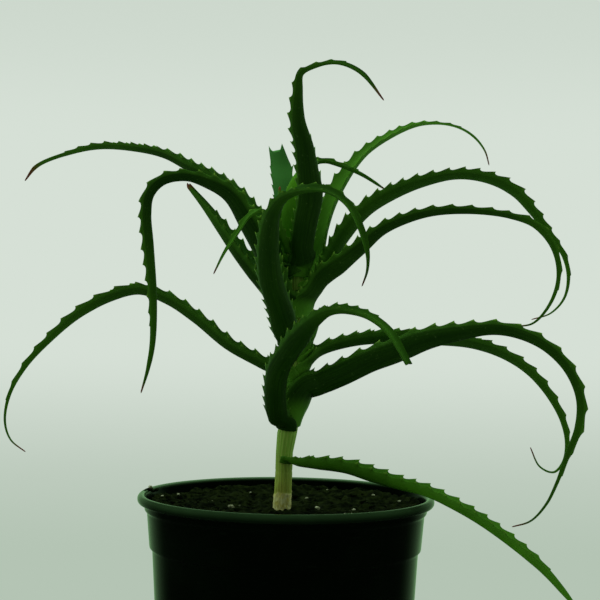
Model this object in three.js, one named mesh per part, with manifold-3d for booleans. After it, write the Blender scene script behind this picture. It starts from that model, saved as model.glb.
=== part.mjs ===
// Potted candelabra aloe: a young plant with arching, toothed leaves in a round nursery pot.
// Millimetres, +Z up. The origin is the centre of the pot's base, on the surface it stands on.
// The front is -Y. An azimuth is in degrees, from +X towards +Y.

import * as THREE from "three";
import { mergeVertices } from "three/addons/utils/BufferGeometryUtils.js";
import Module from "manifold-3d";

const wasm = await Module();
wasm.setup();

// Driving dimensions of the pot
const POT_HEIGHT = 130;
const RIM_RADIUS = 84.5;
const COLLAR_TOP = 79;
const COLLAR_FOOT = 77.3;
const COLLAR_HEIGHT = 99;
const NECK_RADIUS = 80.4;
const NECK_FOOT = 121.2;
const NECK_TOP = 124.6;
const WAIST_RADIUS = 74;
const WAIST_HEIGHT = 70;
const BASE_RADIUS = 69.6;
const CHANNEL_RADIUS = 63;
const CHANNEL_RISE = 3.5;
const DISC_RADIUS = 52;
const WALL = 1.5;
const DRAIN_RADIUS = 4;
const DRAIN_COUNT = 8;

// Driving dimensions of the soil and the plant. The gap keeps pieces that touch apart.
const GAP = 0.3;
const SOIL_LEVEL = 120;
const BANK_HEIGHT = 6;
const GRAIN_COUNT = 16;
const GOLDEN_ANGLE = 2.4;
const STEM_FOOT = 84;
const SHEATH_WALL = 1.7;
const SHEATH_EDGE = 0.7;
const SHEATH_BEVEL = 0.6;
const SHEATH_SPAN = 95;
const SHEATH_HEIGHT = 4.2;
const BELLY_SHARE = 0.5;
const CHANNEL_SHARE = 0.05;
const TOOTH_HEIGHT = 2.6;
const TOOTH_SLANT = 50;
const FULL_TOOTH_WIDTH = 14;
const TOOTHLESS_BASE = 14;
const TOOTHLESS_TIP = 8;

// Section counts, and the length of a plain stretch of the room round a blade
const POT_SIDES = 40;
const DRAIN_SIDES = 10;
const STEM_SIDES = 16;
const SHEATH_STEPS = 6;
const SOIL_RINGS = 7;
const SOIL_SECTORS = 36;
const ROOM_STEP = 8;

// Plastic, soil and plant colours
const finish = (color, roughness) => new THREE.MeshStandardMaterial({ color, roughness, metalness: 0 });
const potPlastic = finish("#0b1a12", 0.35);
const potSoil = finish("#1c1611", 0.95);
const stemBark = finish("#6f8147", 0.7);
const leafSkin = finish("#2f6a2c", 0.5);

// Points along the middle of the stem, from its foot in the soil to the growing tip, with radii
const STEM_LINE = [
  { at: [-2.5, 0, STEM_FOOT], radius: 4.4 },
  { at: [-2.3, 0, 122], radius: 4.7 },
  { at: [-1.6, 0, 140], radius: 4.8 },
  { at: [-1.4, 0, 154], radius: 4.8 },
  { at: [0, 0, 165], radius: 5.6 },
  { at: [3.1, 0, 180], radius: 5 },
  { at: [5.1, 0, 205], radius: 4.6 },
  { at: [5.3, 0, 235], radius: 4 },
  { at: [4.5, 0, 262], radius: 3 },
  { at: [3, 1, 290], radius: 1.6 },
];

// Each leaf: its middle line from the stem to the tip; its sections, each a fraction of its length
// with the width, the depth and the roll there; the spacing of the teeth on one edge; and the side
// of the stem it grows from. Two have a tall base that goes nearly round the stem. They are listed
// from the growing tip downwards.
const LEAVES = [
  {
    name: "leaf_young_centre",
    midrib: [[4, -2, 276], [1.5, -5, 283], [0.5, -6, 293], [1, -5, 302], [2.5, -2, 310], [5, 1, 317]],
    sections: [[0, 7, 3, 0], [0.35, 9, 3.4, 0], [0.7, 8, 3, 0], [1, 1, 1, 0]],
    pitch: 9,
    azimuth: -100,
  },
  {
    name: "leaf_right_thin",
    midrib: [[5.5, 2, 279], [8, 5, 288], [8.5, 8, 302], [9.5, 9, 313], [13.5, 10, 320], [19.5, 11.5, 321.5],
      [26.5, 13, 320], [40.5, 19, 315], [56, 27, 306.5]],
    sections: [[0, 5, 3, 0], [0.5, 4, 2.6, 0], [0.75, 3, 2.2, 0], [0.92, 2.2, 1.6, 0], [1, 1, 1, 0]],
    pitch: 14,
    azimuth: 40,
  },
  {
    name: "leaf_back_notched",
    midrib: [[2.5, 4, 274], [-1, 12, 284], [-3.5, 18, 297], [-5.5, 22, 311], [-7, 25, 320], [-9, 26, 328]],
    sections: [[0, 9, 4, 0], [0.4, 11.5, 4.5, 0], [0.85, 11.5, 4.2, 0], [1, 7.5, 2.6, 0]],
    pitch: 14,
    azimuth: 100,
    notch: 4,
  },
  {
    name: "leaf_young_left",
    midrib: [[1.5, 0, 269.3], [-4.5, 0, 281], [-6.5, 1, 292], [-6.5, 3, 306]],
    sections: [[0, 7, 3.5, 0], [0.6, 8, 3.5, 0], [1, 4, 1.6, 0]],
    pitch: 12,
    azimuth: 185,
  },
  {
    name: "leaf_left_small",
    midrib: [[1.5, -3, 264.6], [-4.5, -12, 276], [-9.5, -22, 286], [-16.5, -32, 289.5], [-22.5, -38, 286],
      [-28.5, -44, 276.5], [-35, -49, 265.5], [-40.5, -51, 254]],
    sections: [[0, 6, 3.5, 0], [0.5, 3.5, 2.2, 0], [0.75, 2.5, 1.8, 0], [1, 1, 1, 0]],
    pitch: 14,
    azimuth: 225,
  },
  {
    name: "leaf_front_tall",
    midrib: [[6.5, -4, 260], [7.5, -12, 271], [9, -19, 283.5], [11.5, -25, 298], [10, -31, 311],
      [8, -36, 324], [5, -41, 338], [4.5, -46, 355], [5.5, -49, 363], [12.5, -52, 367.5],
      [24.5, -58, 368.5], [36.5, -62, 362], [49, -64, 347]],
    sections: [[0, 11, 6, 0], [0.3, 13, 7, 0], [0.5, 9.2, 6, 0], [0.6, 7, 4.6, 20], [0.68, 4.5, 3.2, 35],
      [0.76, 2.8, 2, 40], [0.9, 2.8, 2, 40], [1, 1, 1, 40]],
    pitch: 18,
    azimuth: -50,
  },
  {
    name: "leaf_left_top",
    midrib: [[0.5, 2, 256], [-15.5, 8, 282], [-30.5, 14, 301], [-44.5, 19, 311], [-59.5, 24, 318.5], [-75.5, 31, 326.5],
      [-93.5, 38, 330.5], [-115.5, 47, 332], [-135.5, 55, 328.5], [-156.5, 64, 321], [-164.5, 67, 312]],
    sections: [[0, 11, 6, 0], [0.35, 11.5, 7, 0], [0.5, 9, 5, 0], [0.7, 6.5, 3.6, 0], [0.86, 3.2, 2, 0],
      [0.95, 3.2, 1.8, 0], [1, 1, 1, 0]],
    pitch: 19,
    azimuth: 158,
  },
  {
    name: "leaf_right_back",
    midrib: [[8.5, 5, 251], [16, 12, 266.5], [19, 16, 283], [23.5, 20, 298], [30, 25, 311],
      [41.5, 33, 327], [58, 46, 340], [78.5, 64, 350], [99.5, 80, 351.5], [114, 93, 346.5], [122.5, 100, 338],
      [126, 104, 329]],
    sections: [[0, 8.5, 5, 0], [0.3, 10, 5.4, 0], [0.45, 6.4, 3.6, 0], [0.6, 4.8, 2.8, 0],
      [0.75, 2.6, 1.6, 0], [0.9, 1.8, 1.2, 0], [1, 1, 1, 0]],
    pitch: 19,
    azimuth: 50,
  },
  {
    name: "leaf_right_upper",
    midrib: [[10.5, 3, 246], [20.5, 8, 261], [30.5, 11, 280], [43.5, 13, 294], [58, 15, 303.5], [78, 18, 312],
      [99.5, 22, 316.5], [118.5, 26, 314], [132, 29, 307.5], [143.5, 33, 296], [155, 36, 281.5],
      [163, 38, 270.5], [166, 38, 258], [163.5, 37, 245], [155.5, 36, 236], [143.5, 33, 232]],
    sections: [[0, 12, 6.4, -10], [0.18, 15.5, 8.4, -10], [0.3, 13.5, 7.4, -10], [0.45, 10, 5.6, 0],
      [0.6, 11, 6.4, 0], [0.7, 7, 4.4, 0], [0.8, 4, 2.6, 0], [0.9, 1.8, 1.4, 0], [1, 1, 1, 0]],
    pitch: 19,
    azimuth: 22,
  },
  {
    name: "leaf_right_middle",
    midrib: [[9.5, -2, 242], [18.5, -5, 252], [30, -8, 262], [41, -9, 271.5], [51.5, -10, 281],
      [64.5, -11, 287.5], [80.5, -12, 292], [102.5, -14, 293], [122.5, -16, 290.5], [136, -18, 286],
      [144, -19, 278.5], [149, -20, 268], [150, -20, 255], [145.5, -19, 241], [136.5, -18, 230.5],
      [125.5, -16, 228.5]],
    sections: [[0, 12, 6, -30], [0.15, 13, 6.6, -30], [0.3, 9.2, 5, -10], [0.5, 6, 3.8, 0], [0.6, 5, 3, 0],
      [0.7, 6.6, 3.8, 0], [0.82, 3.4, 2.2, 0], [0.92, 1.8, 1.4, 0], [1, 1, 1, 0]],
    pitch: 19,
    azimuth: -18,
  },
  {
    name: "leaf_left_drooping",
    midrib: [[0.5, -4, 238], [-12.5, -12, 262], [-24.5, -15, 284], [-34.5, -15, 299], [-47.5, -15, 306],
      [-59.5, -15, 309], [-72, -14, 306.5], [-79, -13, 299], [-80.5, -13, 288], [-79, -13, 272],
      [-76, -13, 240], [-76, -13, 216], [-78.5, -13, 201], [-82.5, -13, 187]],
    sections: [[0, 10, 5.5, -20], [0.12, 20, 9, -45], [0.24, 18, 8.8, -45], [0.32, 12, 7.4, -20],
      [0.42, 6.8, 4.6, 0], [0.65, 7, 4.4, 0], [0.8, 4.8, 3.2, 0], [0.92, 2.8, 2.2, 0], [1, 1, 1, 0]],
    pitch: 18,
    azimuth: 205,
  },
  {
    name: "leaf_left_torn",
    midrib: [[0.5, 3, 231], [-14.5, 11, 249], [-28, 16, 265.5], [-40, 19, 281.5], [-51, 21, 296],
      [-60, 24, 306.5]],
    sections: [[0, 10, 6, 0], [0.2, 13, 8, -10], [0.4, 15, 9, -10], [0.6, 12, 7.4, -10], [0.85, 7, 4.4, -10],
      [1, 4, 2.6, -10]],
    pitch: 16,
    azimuth: 155,
    sheath: { height: 14, span: 150 },
  },
  {
    name: "leaf_front_curled",
    midrib: [[2.5, -4, 212], [-2.5, -13, 219.5], [-6, -24, 231], [-8.5, -36, 242], [-11, -46, 252],
      [-11, -55, 263], [-10.5, -64, 275], [-8.5, -72, 284], [-3.5, -81, 293], [6, -90, 297],
      [19, -99, 296.5], [28.5, -106, 290], [34.5, -111, 280], [39, -115, 265], [39, -117, 256],
      [36.5, -118, 248]],
    sections: [[0, 14, 6.5, 0], [0.12, 18.5, 7.6, 0], [0.3, 14.5, 7.2, 0], [0.45, 11, 6, 20],
      [0.58, 7, 4.4, 60], [0.68, 4, 3.2, 80], [0.78, 3.4, 2.8, 80], [0.88, 3.4, 2.4, 80],
      [0.94, 1.6, 1.4, 80], [1, 1, 1, 80]],
    pitch: 18,
    azimuth: 250,
  },
  {
    name: "leaf_right_short",
    midrib: [[7.5, 4, 210], [11.5, 8, 218], [15.5, 12, 227], [18, 16, 237]],
    sections: [[0, 8, 4.5, 0], [0.5, 9, 4, 0], [1, 1, 1, 0]],
    pitch: 12,
    azimuth: 50,
  },
  {
    name: "leaf_right_low_back",
    midrib: [[9.5, 1, 205], [17.5, 3, 211.5], [32.5, 6, 217], [52.5, 10, 220], [83.5, 18, 219.5], [108.5, 24, 217],
      [127.5, 28, 210.5], [143, 32, 200.5], [155.5, 35, 186.5], [164, 37, 171], [166.5, 37, 158],
      [164.5, 37, 147], [158.5, 35, 141], [150, 33, 144.5], [144, 32, 156]],
    sections: [[0, 8.5, 5.2, 0], [0.3, 13.5, 7.8, 0], [0.5, 10, 6, 0], [0.65, 7, 4.4, 0], [0.78, 4.2, 3, 0],
      [0.88, 1.8, 1.4, 0], [1, 1, 1, 0]],
    pitch: 19,
    azimuth: 13,
  },
  {
    name: "leaf_left_low",
    midrib: [[0.5, 1, 197], [-15.5, 2, 205.5], [-34.5, 4, 216], [-53, 6, 230.5], [-69.5, 7, 240.5], [-86.5, 9, 246],
      [-104, 11, 241.5], [-122, 13, 231.5], [-139, 15, 216.5], [-153, 16, 200.5], [-162, 17, 184],
      [-164.5, 17, 168], [-161, 17, 157.5], [-152, 16, 150.5]],
    sections: [[0, 11, 6, 0], [0.55, 9, 5.6, 0], [0.75, 4.6, 2.8, 0], [0.88, 1.8, 1.4, 0], [1, 1, 1, 0]],
    pitch: 20,
    azimuth: 174,
  },
  {
    name: "leaf_right_low_front",
    midrib: [[7.5, -1, 189], [18, -3, 192.5], [32, -6, 199.5], [46, -8, 206.5], [61, -12, 212.5],
      [76.5, -15, 219], [94.5, -19, 223.5], [114.5, -23, 226.5], [129, -26, 224], [143, -29, 217],
      [154.5, -31, 205], [160.5, -33, 190], [160, -33, 174.5], [154.5, -32, 159], [149, -31, 143],
      [143.5, -30, 131], [135.5, -28, 121.5], [125.5, -25, 117.5]],
    sections: [[0, 14, 8.8, -30], [0.3, 14, 8.6, -25], [0.45, 8, 5.2, -10], [0.6, 6.8, 4.4, 0],
      [0.75, 4.8, 3.6, 0], [0.86, 2, 1.6, 0], [1, 1, 1, 0]],
    pitch: 20,
    azimuth: -12,
    sheath: { height: 17, span: 150 },
  },
  {
    name: "leaf_front_low",
    midrib: [[1.5, -4, 168], [-5, -9, 173], [-7.5, -17, 182.5], [-8, -25, 193], [-5.5, -33, 203],
      [0, -42, 211.5], [7, -51, 220.5], [13, -60, 228.5], [22, -69, 235.5], [33.5, -76, 235.5],
      [43.5, -83, 232], [52.5, -89, 224.5], [61.5, -93, 209.5]],
    sections: [[0, 12, 6, 0], [0.3, 12.5, 7.4, 0], [0.45, 13, 7, 20], [0.6, 7, 5.4, 60],
      [0.7, 4.2, 3.2, 75], [0.78, 3.6, 2.8, 75], [0.88, 4.8, 3.2, 75], [1, 4, 2.6, 60]],
    pitch: 16,
    azimuth: 245,
  },
  {
    name: "leaf_over_rim",
    midrib: [[-1.5, -6, 149], [6.5, -10, 149.5], [18.5, -17, 149.5], [33.5, -24, 148.5], [47, -30, 145],
      [61, -37, 141.5], [75.5, -44, 138.5], [89, -51, 133], [103.5, -58, 125.5], [120, -64, 114.5],
      [135, -69, 102.5], [147.5, -73, 89], [155.5, -76, 79]],
    sections: [[0, 5, 3.6, 0], [0.12, 10.5, 6.8, 0], [0.28, 12, 7.4, 0], [0.4, 9.6, 6, 0], [0.5, 9, 5.2, 0],
      [0.65, 7.8, 5, 0], [0.8, 6.6, 4.8, 0], [0.92, 4, 3, 0], [1, 1, 1, 0]],
    pitch: 18,
    azimuth: -50,
  },
];

// A closed geometry as a solid for cutting and joining, and back
function solidOf(geometry) {
  geometry.deleteAttribute("normal");
  geometry.deleteAttribute("uv");
  const merged = mergeVertices(geometry, 1e-5);
  return new wasm.Manifold(new wasm.Mesh({
    numProp: 3,
    vertProperties: merged.attributes.position.array,
    triVerts: merged.index.array,
  }));
}

function geometryOf(solid) {
  const mesh = solid.getMesh();
  const geometry = new THREE.BufferGeometry();
  geometry.setAttribute("position", new THREE.BufferAttribute(mesh.vertProperties, mesh.numProp));
  geometry.setIndex(new THREE.BufferAttribute(mesh.triVerts, 1));
  geometry.computeVertexNormals();
  return geometry;
}

const largest = (solid) => solid.decompose().sort((a, b) => b.volume() - a.volume())[0];

// A skin over rings of equal point counts, closed with a fan at each end
function loft(rings) {
  const count = rings[0].length;
  const positions = rings.flat().flatMap((point) => [point.x, point.y, point.z]);
  const triangles = [];
  for (let ring = 0; ring < rings.length - 1; ring += 1) {
    for (let side = 0; side < count; side += 1) {
      const a = ring * count + side;
      const b = ring * count + (side + 1) % count;
      triangles.push(a, b, b + count, a, b + count, a + count);
    }
  }
  const last = (rings.length - 1) * count;
  for (let side = 1; side < count - 1; side += 1) {
    triangles.push(0, side + 1, side);
    triangles.push(last, last + side, last + side + 1);
  }
  const geometry = new THREE.BufferGeometry();
  geometry.setAttribute("position", new THREE.Float32BufferAttribute(positions, 3));
  geometry.setIndex(triangles);
  return geometry;
}

// A value read off a list of [fraction, value...] rows, with straight runs between them
function readAlong(rows, fraction, column) {
  const next = rows.findIndex((row) => row[0] >= fraction);
  if (next <= 0) {
    return rows[0][column];
  }
  const [low, high] = [rows[next - 1], rows[next]];
  const share = (fraction - low[0]) / (high[0] - low[0]);
  return THREE.MathUtils.lerp(low[column], high[column], share);
}

const curveThrough = (points) => (
  new THREE.CatmullRomCurve3(points.map((point) => new THREE.Vector3(...point)), false, "centripetal"));

// The middle of the stem and its radius at a height
function stemAt(height) {
  const rows = STEM_LINE.map(({ at, radius }) => [at[2], at[0], at[1], radius]);
  const [x, y, radius] = [1, 2, 3].map((column) => readAlong(rows, height, column));
  return { centre: new THREE.Vector3(x, y, height), radius };
}

// The stem, a tapering round rod from its foot in the soil to the growing tip. With a margin it is
// that much thicker, for cutting its neighbours clear.
function stemSolid(margin = 0) {
  const curve = curveThrough(STEM_LINE.map((step) => step.at));
  const rings = STEM_LINE.map(({ at, radius }, index) => {
    const along = curve.getTangent(index / (STEM_LINE.length - 1));
    const side = new THREE.Vector3(0, 1, 0);
    const front = side.clone().cross(along);
    return Array.from({ length: STEM_SIDES }, (_, corner) => {
      const angle = corner / STEM_SIDES * 2 * Math.PI;
      return new THREE.Vector3(...at)
        .addScaledVector(front, (radius + margin) * Math.cos(angle))
        .addScaledVector(side, (radius + margin) * Math.sin(angle));
    });
  });
  return solidOf(loft(rings));
}

// Where the sections of a blade stand: each row is a fraction of the length, then how much of a
// tooth stands there on the left edge and on the right edge. Teeth alternate from edge to edge,
// each rising slowly and falling quickly, so that it points to the tip.
function toothStations(length, pitch) {
  const first = TOOTHLESS_BASE / length;
  const last = 1 - TOOTHLESS_TIP / length;
  const count = Math.round((last - first) * length / pitch);
  const step = (last - first) / count;
  const stations = [[0, 0, 0]];
  for (let tooth = 0; tooth < count; tooth += 1) {
    const start = first + tooth * step;
    stations.push([start, 0, 0], [start + 0.34 * step, 1, 0]);
    stations.push([start + 0.5 * step, 0, 0], [start + 0.84 * step, 0, 1]);
  }
  stations.push([last, 0, 0], [1, 0, 0]);
  return stations;
}

// Stations for the room that a blade takes up, with its row of teeth as a plain strip
function roomStations(length) {
  const first = TOOTHLESS_BASE / length;
  const steps = Math.max(4, Math.round(length / ROOM_STEP));
  const spread = Array.from({ length: steps }, (_, step) => 1 - (1 - first) * (steps - 1 - step) / steps);
  return [[0, 0, 0], [first, 0, 0], ...[first * 1.05, ...spread].map((fraction) => [fraction, 1, 1])];
}

// One ring of a leaf: raised thin edges, a channel between them above and a rounded belly below.
// The teeth slant up and out from the edges. At a torn end both edges run on past the middle by the
// notch.
function leafRing(place, frame, width, depth, teeth, notch) {
  const half = width / 2;
  const out = Math.cos(THREE.MathUtils.degToRad(TOOTH_SLANT));
  const rise = Math.sin(THREE.MathUtils.degToRad(TOOTH_SLANT));
  const outline = [
    [-half - teeth[0] * out, depth / 2 + teeth[0] * rise, notch],
    [-half * BELLY_SHARE, -depth / 2, 0],
    [half * BELLY_SHARE, -depth / 2, 0],
    [half + teeth[1] * out, depth / 2 + teeth[1] * rise, notch],
    [0, depth * CHANNEL_SHARE, 0],
  ];
  return outline.map(([across, up, along]) => place.clone()
    .addScaledVector(frame.side, across)
    .addScaledVector(frame.up, up)
    .addScaledVector(frame.along, along));
}

// The blade of a leaf, skinned over sections that turn with its middle line and roll from root to
// tip. With a margin it is the room that the blade needs, that much wider all round.
function bladeSolid(leaf, margin = 0) {
  const curve = curveThrough(leaf.midrib);
  curve.arcLengthDivisions = 400;
  const length = curve.getLength();
  const stations = margin > 0 ? roomStations(length) : toothStations(length, leaf.pitch);
  const angle = THREE.MathUtils.degToRad(leaf.azimuth);
  let side = new THREE.Vector3(-Math.sin(angle), Math.cos(angle), 0);
  const rings = stations.map(([fraction, left, right]) => {
    const along = curve.getTangentAt(fraction);
    const place = curve.getPointAt(fraction).addScaledVector(along, fraction === 0 ? -margin : 0);
    side = side.clone().addScaledVector(along, -side.dot(along)).normalize();
    const [width, depth, turn] = [1, 2, 3].map((column) => readAlong(leaf.sections, fraction, column));
    const rolled = side.clone().applyAxisAngle(along, THREE.MathUtils.degToRad(turn));
    const frame = { along, side: rolled, up: along.clone().cross(rolled) };
    const tooth = TOOTH_HEIGHT * Math.min(1, 0.1 + width / FULL_TOOTH_WIDTH);
    const notch = fraction === 1 ? leaf.notch ?? 0 : 0;
    const teeth = [left * tooth, right * tooth];
    return leafRing(place, frame, width + 2 * margin, depth + 2 * margin, teeth, notch);
  });
  return solidOf(loft(rings));
}

// The clasping base of a leaf: part of a ring round the leaning stem, thickest under the blade
function sheathSolid(leaf, margin = 0) {
  const { height, span } = leaf.sheath ?? { height: SHEATH_HEIGHT, span: SHEATH_SPAN };
  const high = leaf.midrib[0][2] + SHEATH_HEIGHT / 2 + margin;
  const low = high - height - 2 * margin;
  const middle = THREE.MathUtils.degToRad(leaf.azimuth);
  const steps = Math.round(SHEATH_STEPS * span / SHEATH_SPAN);
  const rings = [];
  for (let step = 0; step <= steps; step += 1) {
    const share = 2 * step / steps - 1;
    const angle = middle + share * THREE.MathUtils.degToRad(span);
    const wall = SHEATH_EDGE + (SHEATH_WALL - SHEATH_EDGE) * (1 - share * share) + margin;
    const spot = (level, reach) => {
      const { centre, radius } = stemAt(level);
      const out = radius + GAP + reach;
      return new THREE.Vector3(centre.x + out * Math.cos(angle), centre.y + out * Math.sin(angle), level);
    };
    rings.push([
      spot(low, -margin), spot(high, -margin),
      spot(high - SHEATH_BEVEL, wall), spot(low + SHEATH_BEVEL, wall),
    ]);
  }
  return solidOf(loft(rings));
}

// The pot, turned from one closed profile: a base with a raised channel for the drain holes, a
// tapered wall, a wider collar and a rolled rim
function potSolid() {
  const outside = [
    [0, 0], [DISC_RADIUS, 0], [DISC_RADIUS + 1.5, CHANNEL_RISE], [CHANNEL_RADIUS, CHANNEL_RISE],
    [CHANNEL_RADIUS + 1.5, 0], [BASE_RADIUS - 0.8, 0], [BASE_RADIUS, 1], [WAIST_RADIUS, WAIST_HEIGHT],
    [COLLAR_FOOT - 1.6, COLLAR_HEIGHT], [COLLAR_FOOT, COLLAR_HEIGHT + 1], [COLLAR_TOP, 120],
    [NECK_RADIUS, NECK_FOOT], [NECK_RADIUS, NECK_TOP], [RIM_RADIUS - 1, NECK_TOP + 0.4],
    [RIM_RADIUS, 126.4], [RIM_RADIUS, 128.4], [RIM_RADIUS - 1.2, POT_HEIGHT],
  ];
  const inside = [
    [RIM_RADIUS - 3.4, POT_HEIGHT], [RIM_RADIUS - 5, 128.6], [COLLAR_TOP - WALL + 0.6, 123],
    [COLLAR_TOP - WALL, 119], [COLLAR_FOOT - WALL, COLLAR_HEIGHT + 2],
    [COLLAR_FOOT - 1.6 - WALL, COLLAR_HEIGHT], [WAIST_RADIUS - WALL, WAIST_HEIGHT],
    [BASE_RADIUS - WALL, CHANNEL_RISE + WALL], [DISC_RADIUS, CHANNEL_RISE + WALL],
    [DISC_RADIUS - 1.5, WALL], [0, WALL],
  ];
  const points = [...outside, ...inside].map(([radius, height]) => new THREE.Vector2(radius, height));
  const turned = new THREE.LatheGeometry(points, POT_SIDES);
  turned.rotateX(Math.PI / 2);
  let pot = solidOf(turned);
  const drainReach = (DISC_RADIUS + CHANNEL_RADIUS + 1.5) / 2;
  for (let hole = 0; hole < DRAIN_COUNT; hole += 1) {
    const angle = (hole + 0.5) / DRAIN_COUNT * 2 * Math.PI;
    const drill = new THREE.CylinderGeometry(DRAIN_RADIUS, DRAIN_RADIUS, 4 * WALL, DRAIN_SIDES);
    drill.rotateX(Math.PI / 2);
    drill.translate(drainReach * Math.cos(angle), drainReach * Math.sin(angle), CHANNEL_RISE + WALL / 2);
    pot = pot.subtract(solidOf(drill));
  }
  return pot;
}

// The lie of the soil's surface: long swells and short lumps, banked up towards the wall
function soilHeight(x, y) {
  const swell = 1.1 * Math.sin(x * 0.09 + 1.3) * Math.cos(y * 0.08 - 0.4);
  const lumps = 0.9 * Math.sin(x * 0.41 + 2 * Math.sin(y * 0.23)) * Math.cos(y * 0.37 - x * 0.11);
  const bank = BANK_HEIGHT * (Math.hypot(x, y) / COLLAR_TOP) ** 4;
  return SOIL_LEVEL + swell + lumps + bank;
}

// The soil fills the pot up to a lumpy surface, with grains standing out of it and a plain hole
// for the stem
function soilSolid() {
  const slack = WALL + GAP + 0.1;
  const sides = [
    [DISC_RADIUS - 1.8, WALL + GAP], [DISC_RADIUS - 0.3, CHANNEL_RISE + slack],
    [BASE_RADIUS - slack, CHANNEL_RISE + slack], [WAIST_RADIUS - slack, WAIST_HEIGHT],
    [COLLAR_FOOT - 1.6 - slack, COLLAR_HEIGHT], [COLLAR_FOOT - slack, COLLAR_HEIGHT + 3],
    [COLLAR_TOP - slack - 0.3, 119],
  ];
  const edge = COLLAR_TOP - slack - 0.5;
  const top = Array.from({ length: SOIL_RINGS }, (_, ring) => [edge * (1 - ring / SOIL_RINGS), null]);
  const rings = [...sides, ...top].map(([radius, height]) => (
    Array.from({ length: SOIL_SECTORS }, (_, sector) => {
      const angle = sector / SOIL_SECTORS * 2 * Math.PI;
      const [x, y] = [radius * Math.cos(angle), radius * Math.sin(angle)];
      return new THREE.Vector3(x, y, height ?? soilHeight(x, y));
    })));
  let soil = solidOf(loft(rings));
  for (let grain = 0; grain < GRAIN_COUNT; grain += 1) {
    const angle = grain * GOLDEN_ANGLE;
    const reach = 14 + 55 * Math.sqrt(grain / GRAIN_COUNT);
    const [x, y] = [reach * Math.cos(angle), reach * Math.sin(angle)];
    const lump = new THREE.OctahedronGeometry(1.7 + 0.3 * (grain % 4));
    lump.rotateY(grain);
    lump.translate(x, y, soilHeight(x, y));
    soil = soil.add(solidOf(lump));
  }
  const { centre, radius } = stemAt(SOIL_LEVEL);
  const depth = 2 * (SOIL_LEVEL - STEM_FOOT + GAP);
  const hole = new THREE.CylinderGeometry(radius + 2 * GAP, radius + 2 * GAP, depth, STEM_SIDES);
  hole.rotateX(Math.PI / 2);
  hole.translate(centre.x, centre.y, SOIL_LEVEL);
  return soil.subtract(solidOf(hole));
}

// The plant and its pot, each piece a named mesh
const group = new THREE.Group();

function addPiece(name, solid, material) {
  const mesh = new THREE.Mesh(geometryOf(solid), material);
  mesh.name = name;
  group.add(mesh);
}

addPiece("pot", potSolid(), potPlastic);
addPiece("soil", soilSolid(), potSoil);
addPiece("stem", stemSolid(), stemBark);

// Every leaf is cut clear of the stem and of the leaves above it in the list, which lie inside it
let taken = stemSolid(GAP);
for (const leaf of LEAVES) {
  const whole = bladeSolid(leaf).add(sheathSolid(leaf));
  addPiece(leaf.name, largest(whole.subtract(taken)), leafSkin);
  taken = taken.add(bladeSolid(leaf, GAP)).add(sheathSolid(leaf, GAP));
}

export default group;
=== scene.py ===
import math

import bmesh
import bpy
import numpy as np
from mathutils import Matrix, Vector


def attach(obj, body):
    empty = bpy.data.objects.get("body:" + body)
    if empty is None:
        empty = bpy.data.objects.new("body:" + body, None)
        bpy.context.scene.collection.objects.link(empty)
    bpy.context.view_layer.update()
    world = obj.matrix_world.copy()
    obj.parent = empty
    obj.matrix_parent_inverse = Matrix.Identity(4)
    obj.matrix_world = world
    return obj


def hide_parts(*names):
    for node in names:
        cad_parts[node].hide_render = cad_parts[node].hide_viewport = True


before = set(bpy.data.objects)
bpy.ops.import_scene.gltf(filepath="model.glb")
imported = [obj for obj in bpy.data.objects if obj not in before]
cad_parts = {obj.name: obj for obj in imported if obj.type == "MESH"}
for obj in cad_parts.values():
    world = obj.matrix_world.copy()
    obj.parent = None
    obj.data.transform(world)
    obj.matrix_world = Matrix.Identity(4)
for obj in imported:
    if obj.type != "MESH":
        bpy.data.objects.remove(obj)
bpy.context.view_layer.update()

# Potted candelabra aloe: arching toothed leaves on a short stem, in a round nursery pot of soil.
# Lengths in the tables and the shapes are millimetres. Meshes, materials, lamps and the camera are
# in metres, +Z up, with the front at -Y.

MM = 0.001
SEED = 11

# Driving dimensions of the pot, as in the part's source: its outline's radii and heights, its wall
# and its drain holes
POT_HEIGHT = 130
RIM_RADIUS = 84.5
RIM_LOW = 126.4
RIM_HIGH = 128.4
NECK_RADIUS = 80.4
NECK_FOOT = 121.2
NECK_TOP = 124.6
COLLAR_TOP = 79
COLLAR_FOOT = 77.3
COLLAR_STEP = 1.6
COLLAR_HEIGHT = 99
WAIST_RADIUS = 74
WAIST_HEIGHT = 70
BASE_RADIUS = 69.6
CHANNEL_RADIUS = 63
CHANNEL_RISE = 3.5
CHANNEL_SLOPE = 1.5
DISC_RADIUS = 52
WALL = 1.5
DRAIN_RADIUS = 4
DRAIN_COUNT = 8
CORNER_EASE = 0.9

# The soil: its level, how far it is banked up at the wall, and its radius
SOIL_LEVEL = 120
BANK_HEIGHT = 6
SOIL_RADIUS = 76.4

# The hole that the stem stands in: its radius, the heights of its lower rings, how far it is to the
# left of the pot's axis, and how far out from it the soil's rings are drawn along
HOLE_RADIUS = 5.2
HOLE_HEIGHTS = (100, 83)
HOLE_SHIFT = 2.3
SHIFT_REACH = 20

# The soil's long swell and short lumps, and the layers of crumbs on it with their widths and heights
SWELL_HEIGHT = 1.1
LUMP_HEIGHT = 0.9
CRUMB_LAYERS = [(6.5, 1.9), (2.9, 1.0), (1.3, 0.45)]

# The gap between pieces that touch on the real plant
SHEATH_GAP = 0.3

# The larger perlite grains: their places on the soil and their half sizes
PERLITE = [
    ((-32, 14), 1.8), ((18, 9), 1.8), ((37, 9), 1.3), ((39, 13), 1.5), ((52, 45), 1.1), ((-64, 33), 1.2),
    ((-72, 12), 1), ((-8, 30), 0.8), ((62, -20), 0.9), ((-44, -42), 1.2), ((12, 52), 1.1), ((-22, 58), 0.9),
    ((33, -24), 1.1), ((24, -50), 1.2), ((-6, -62), 1), ((66, 20), 1.1),
]

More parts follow.
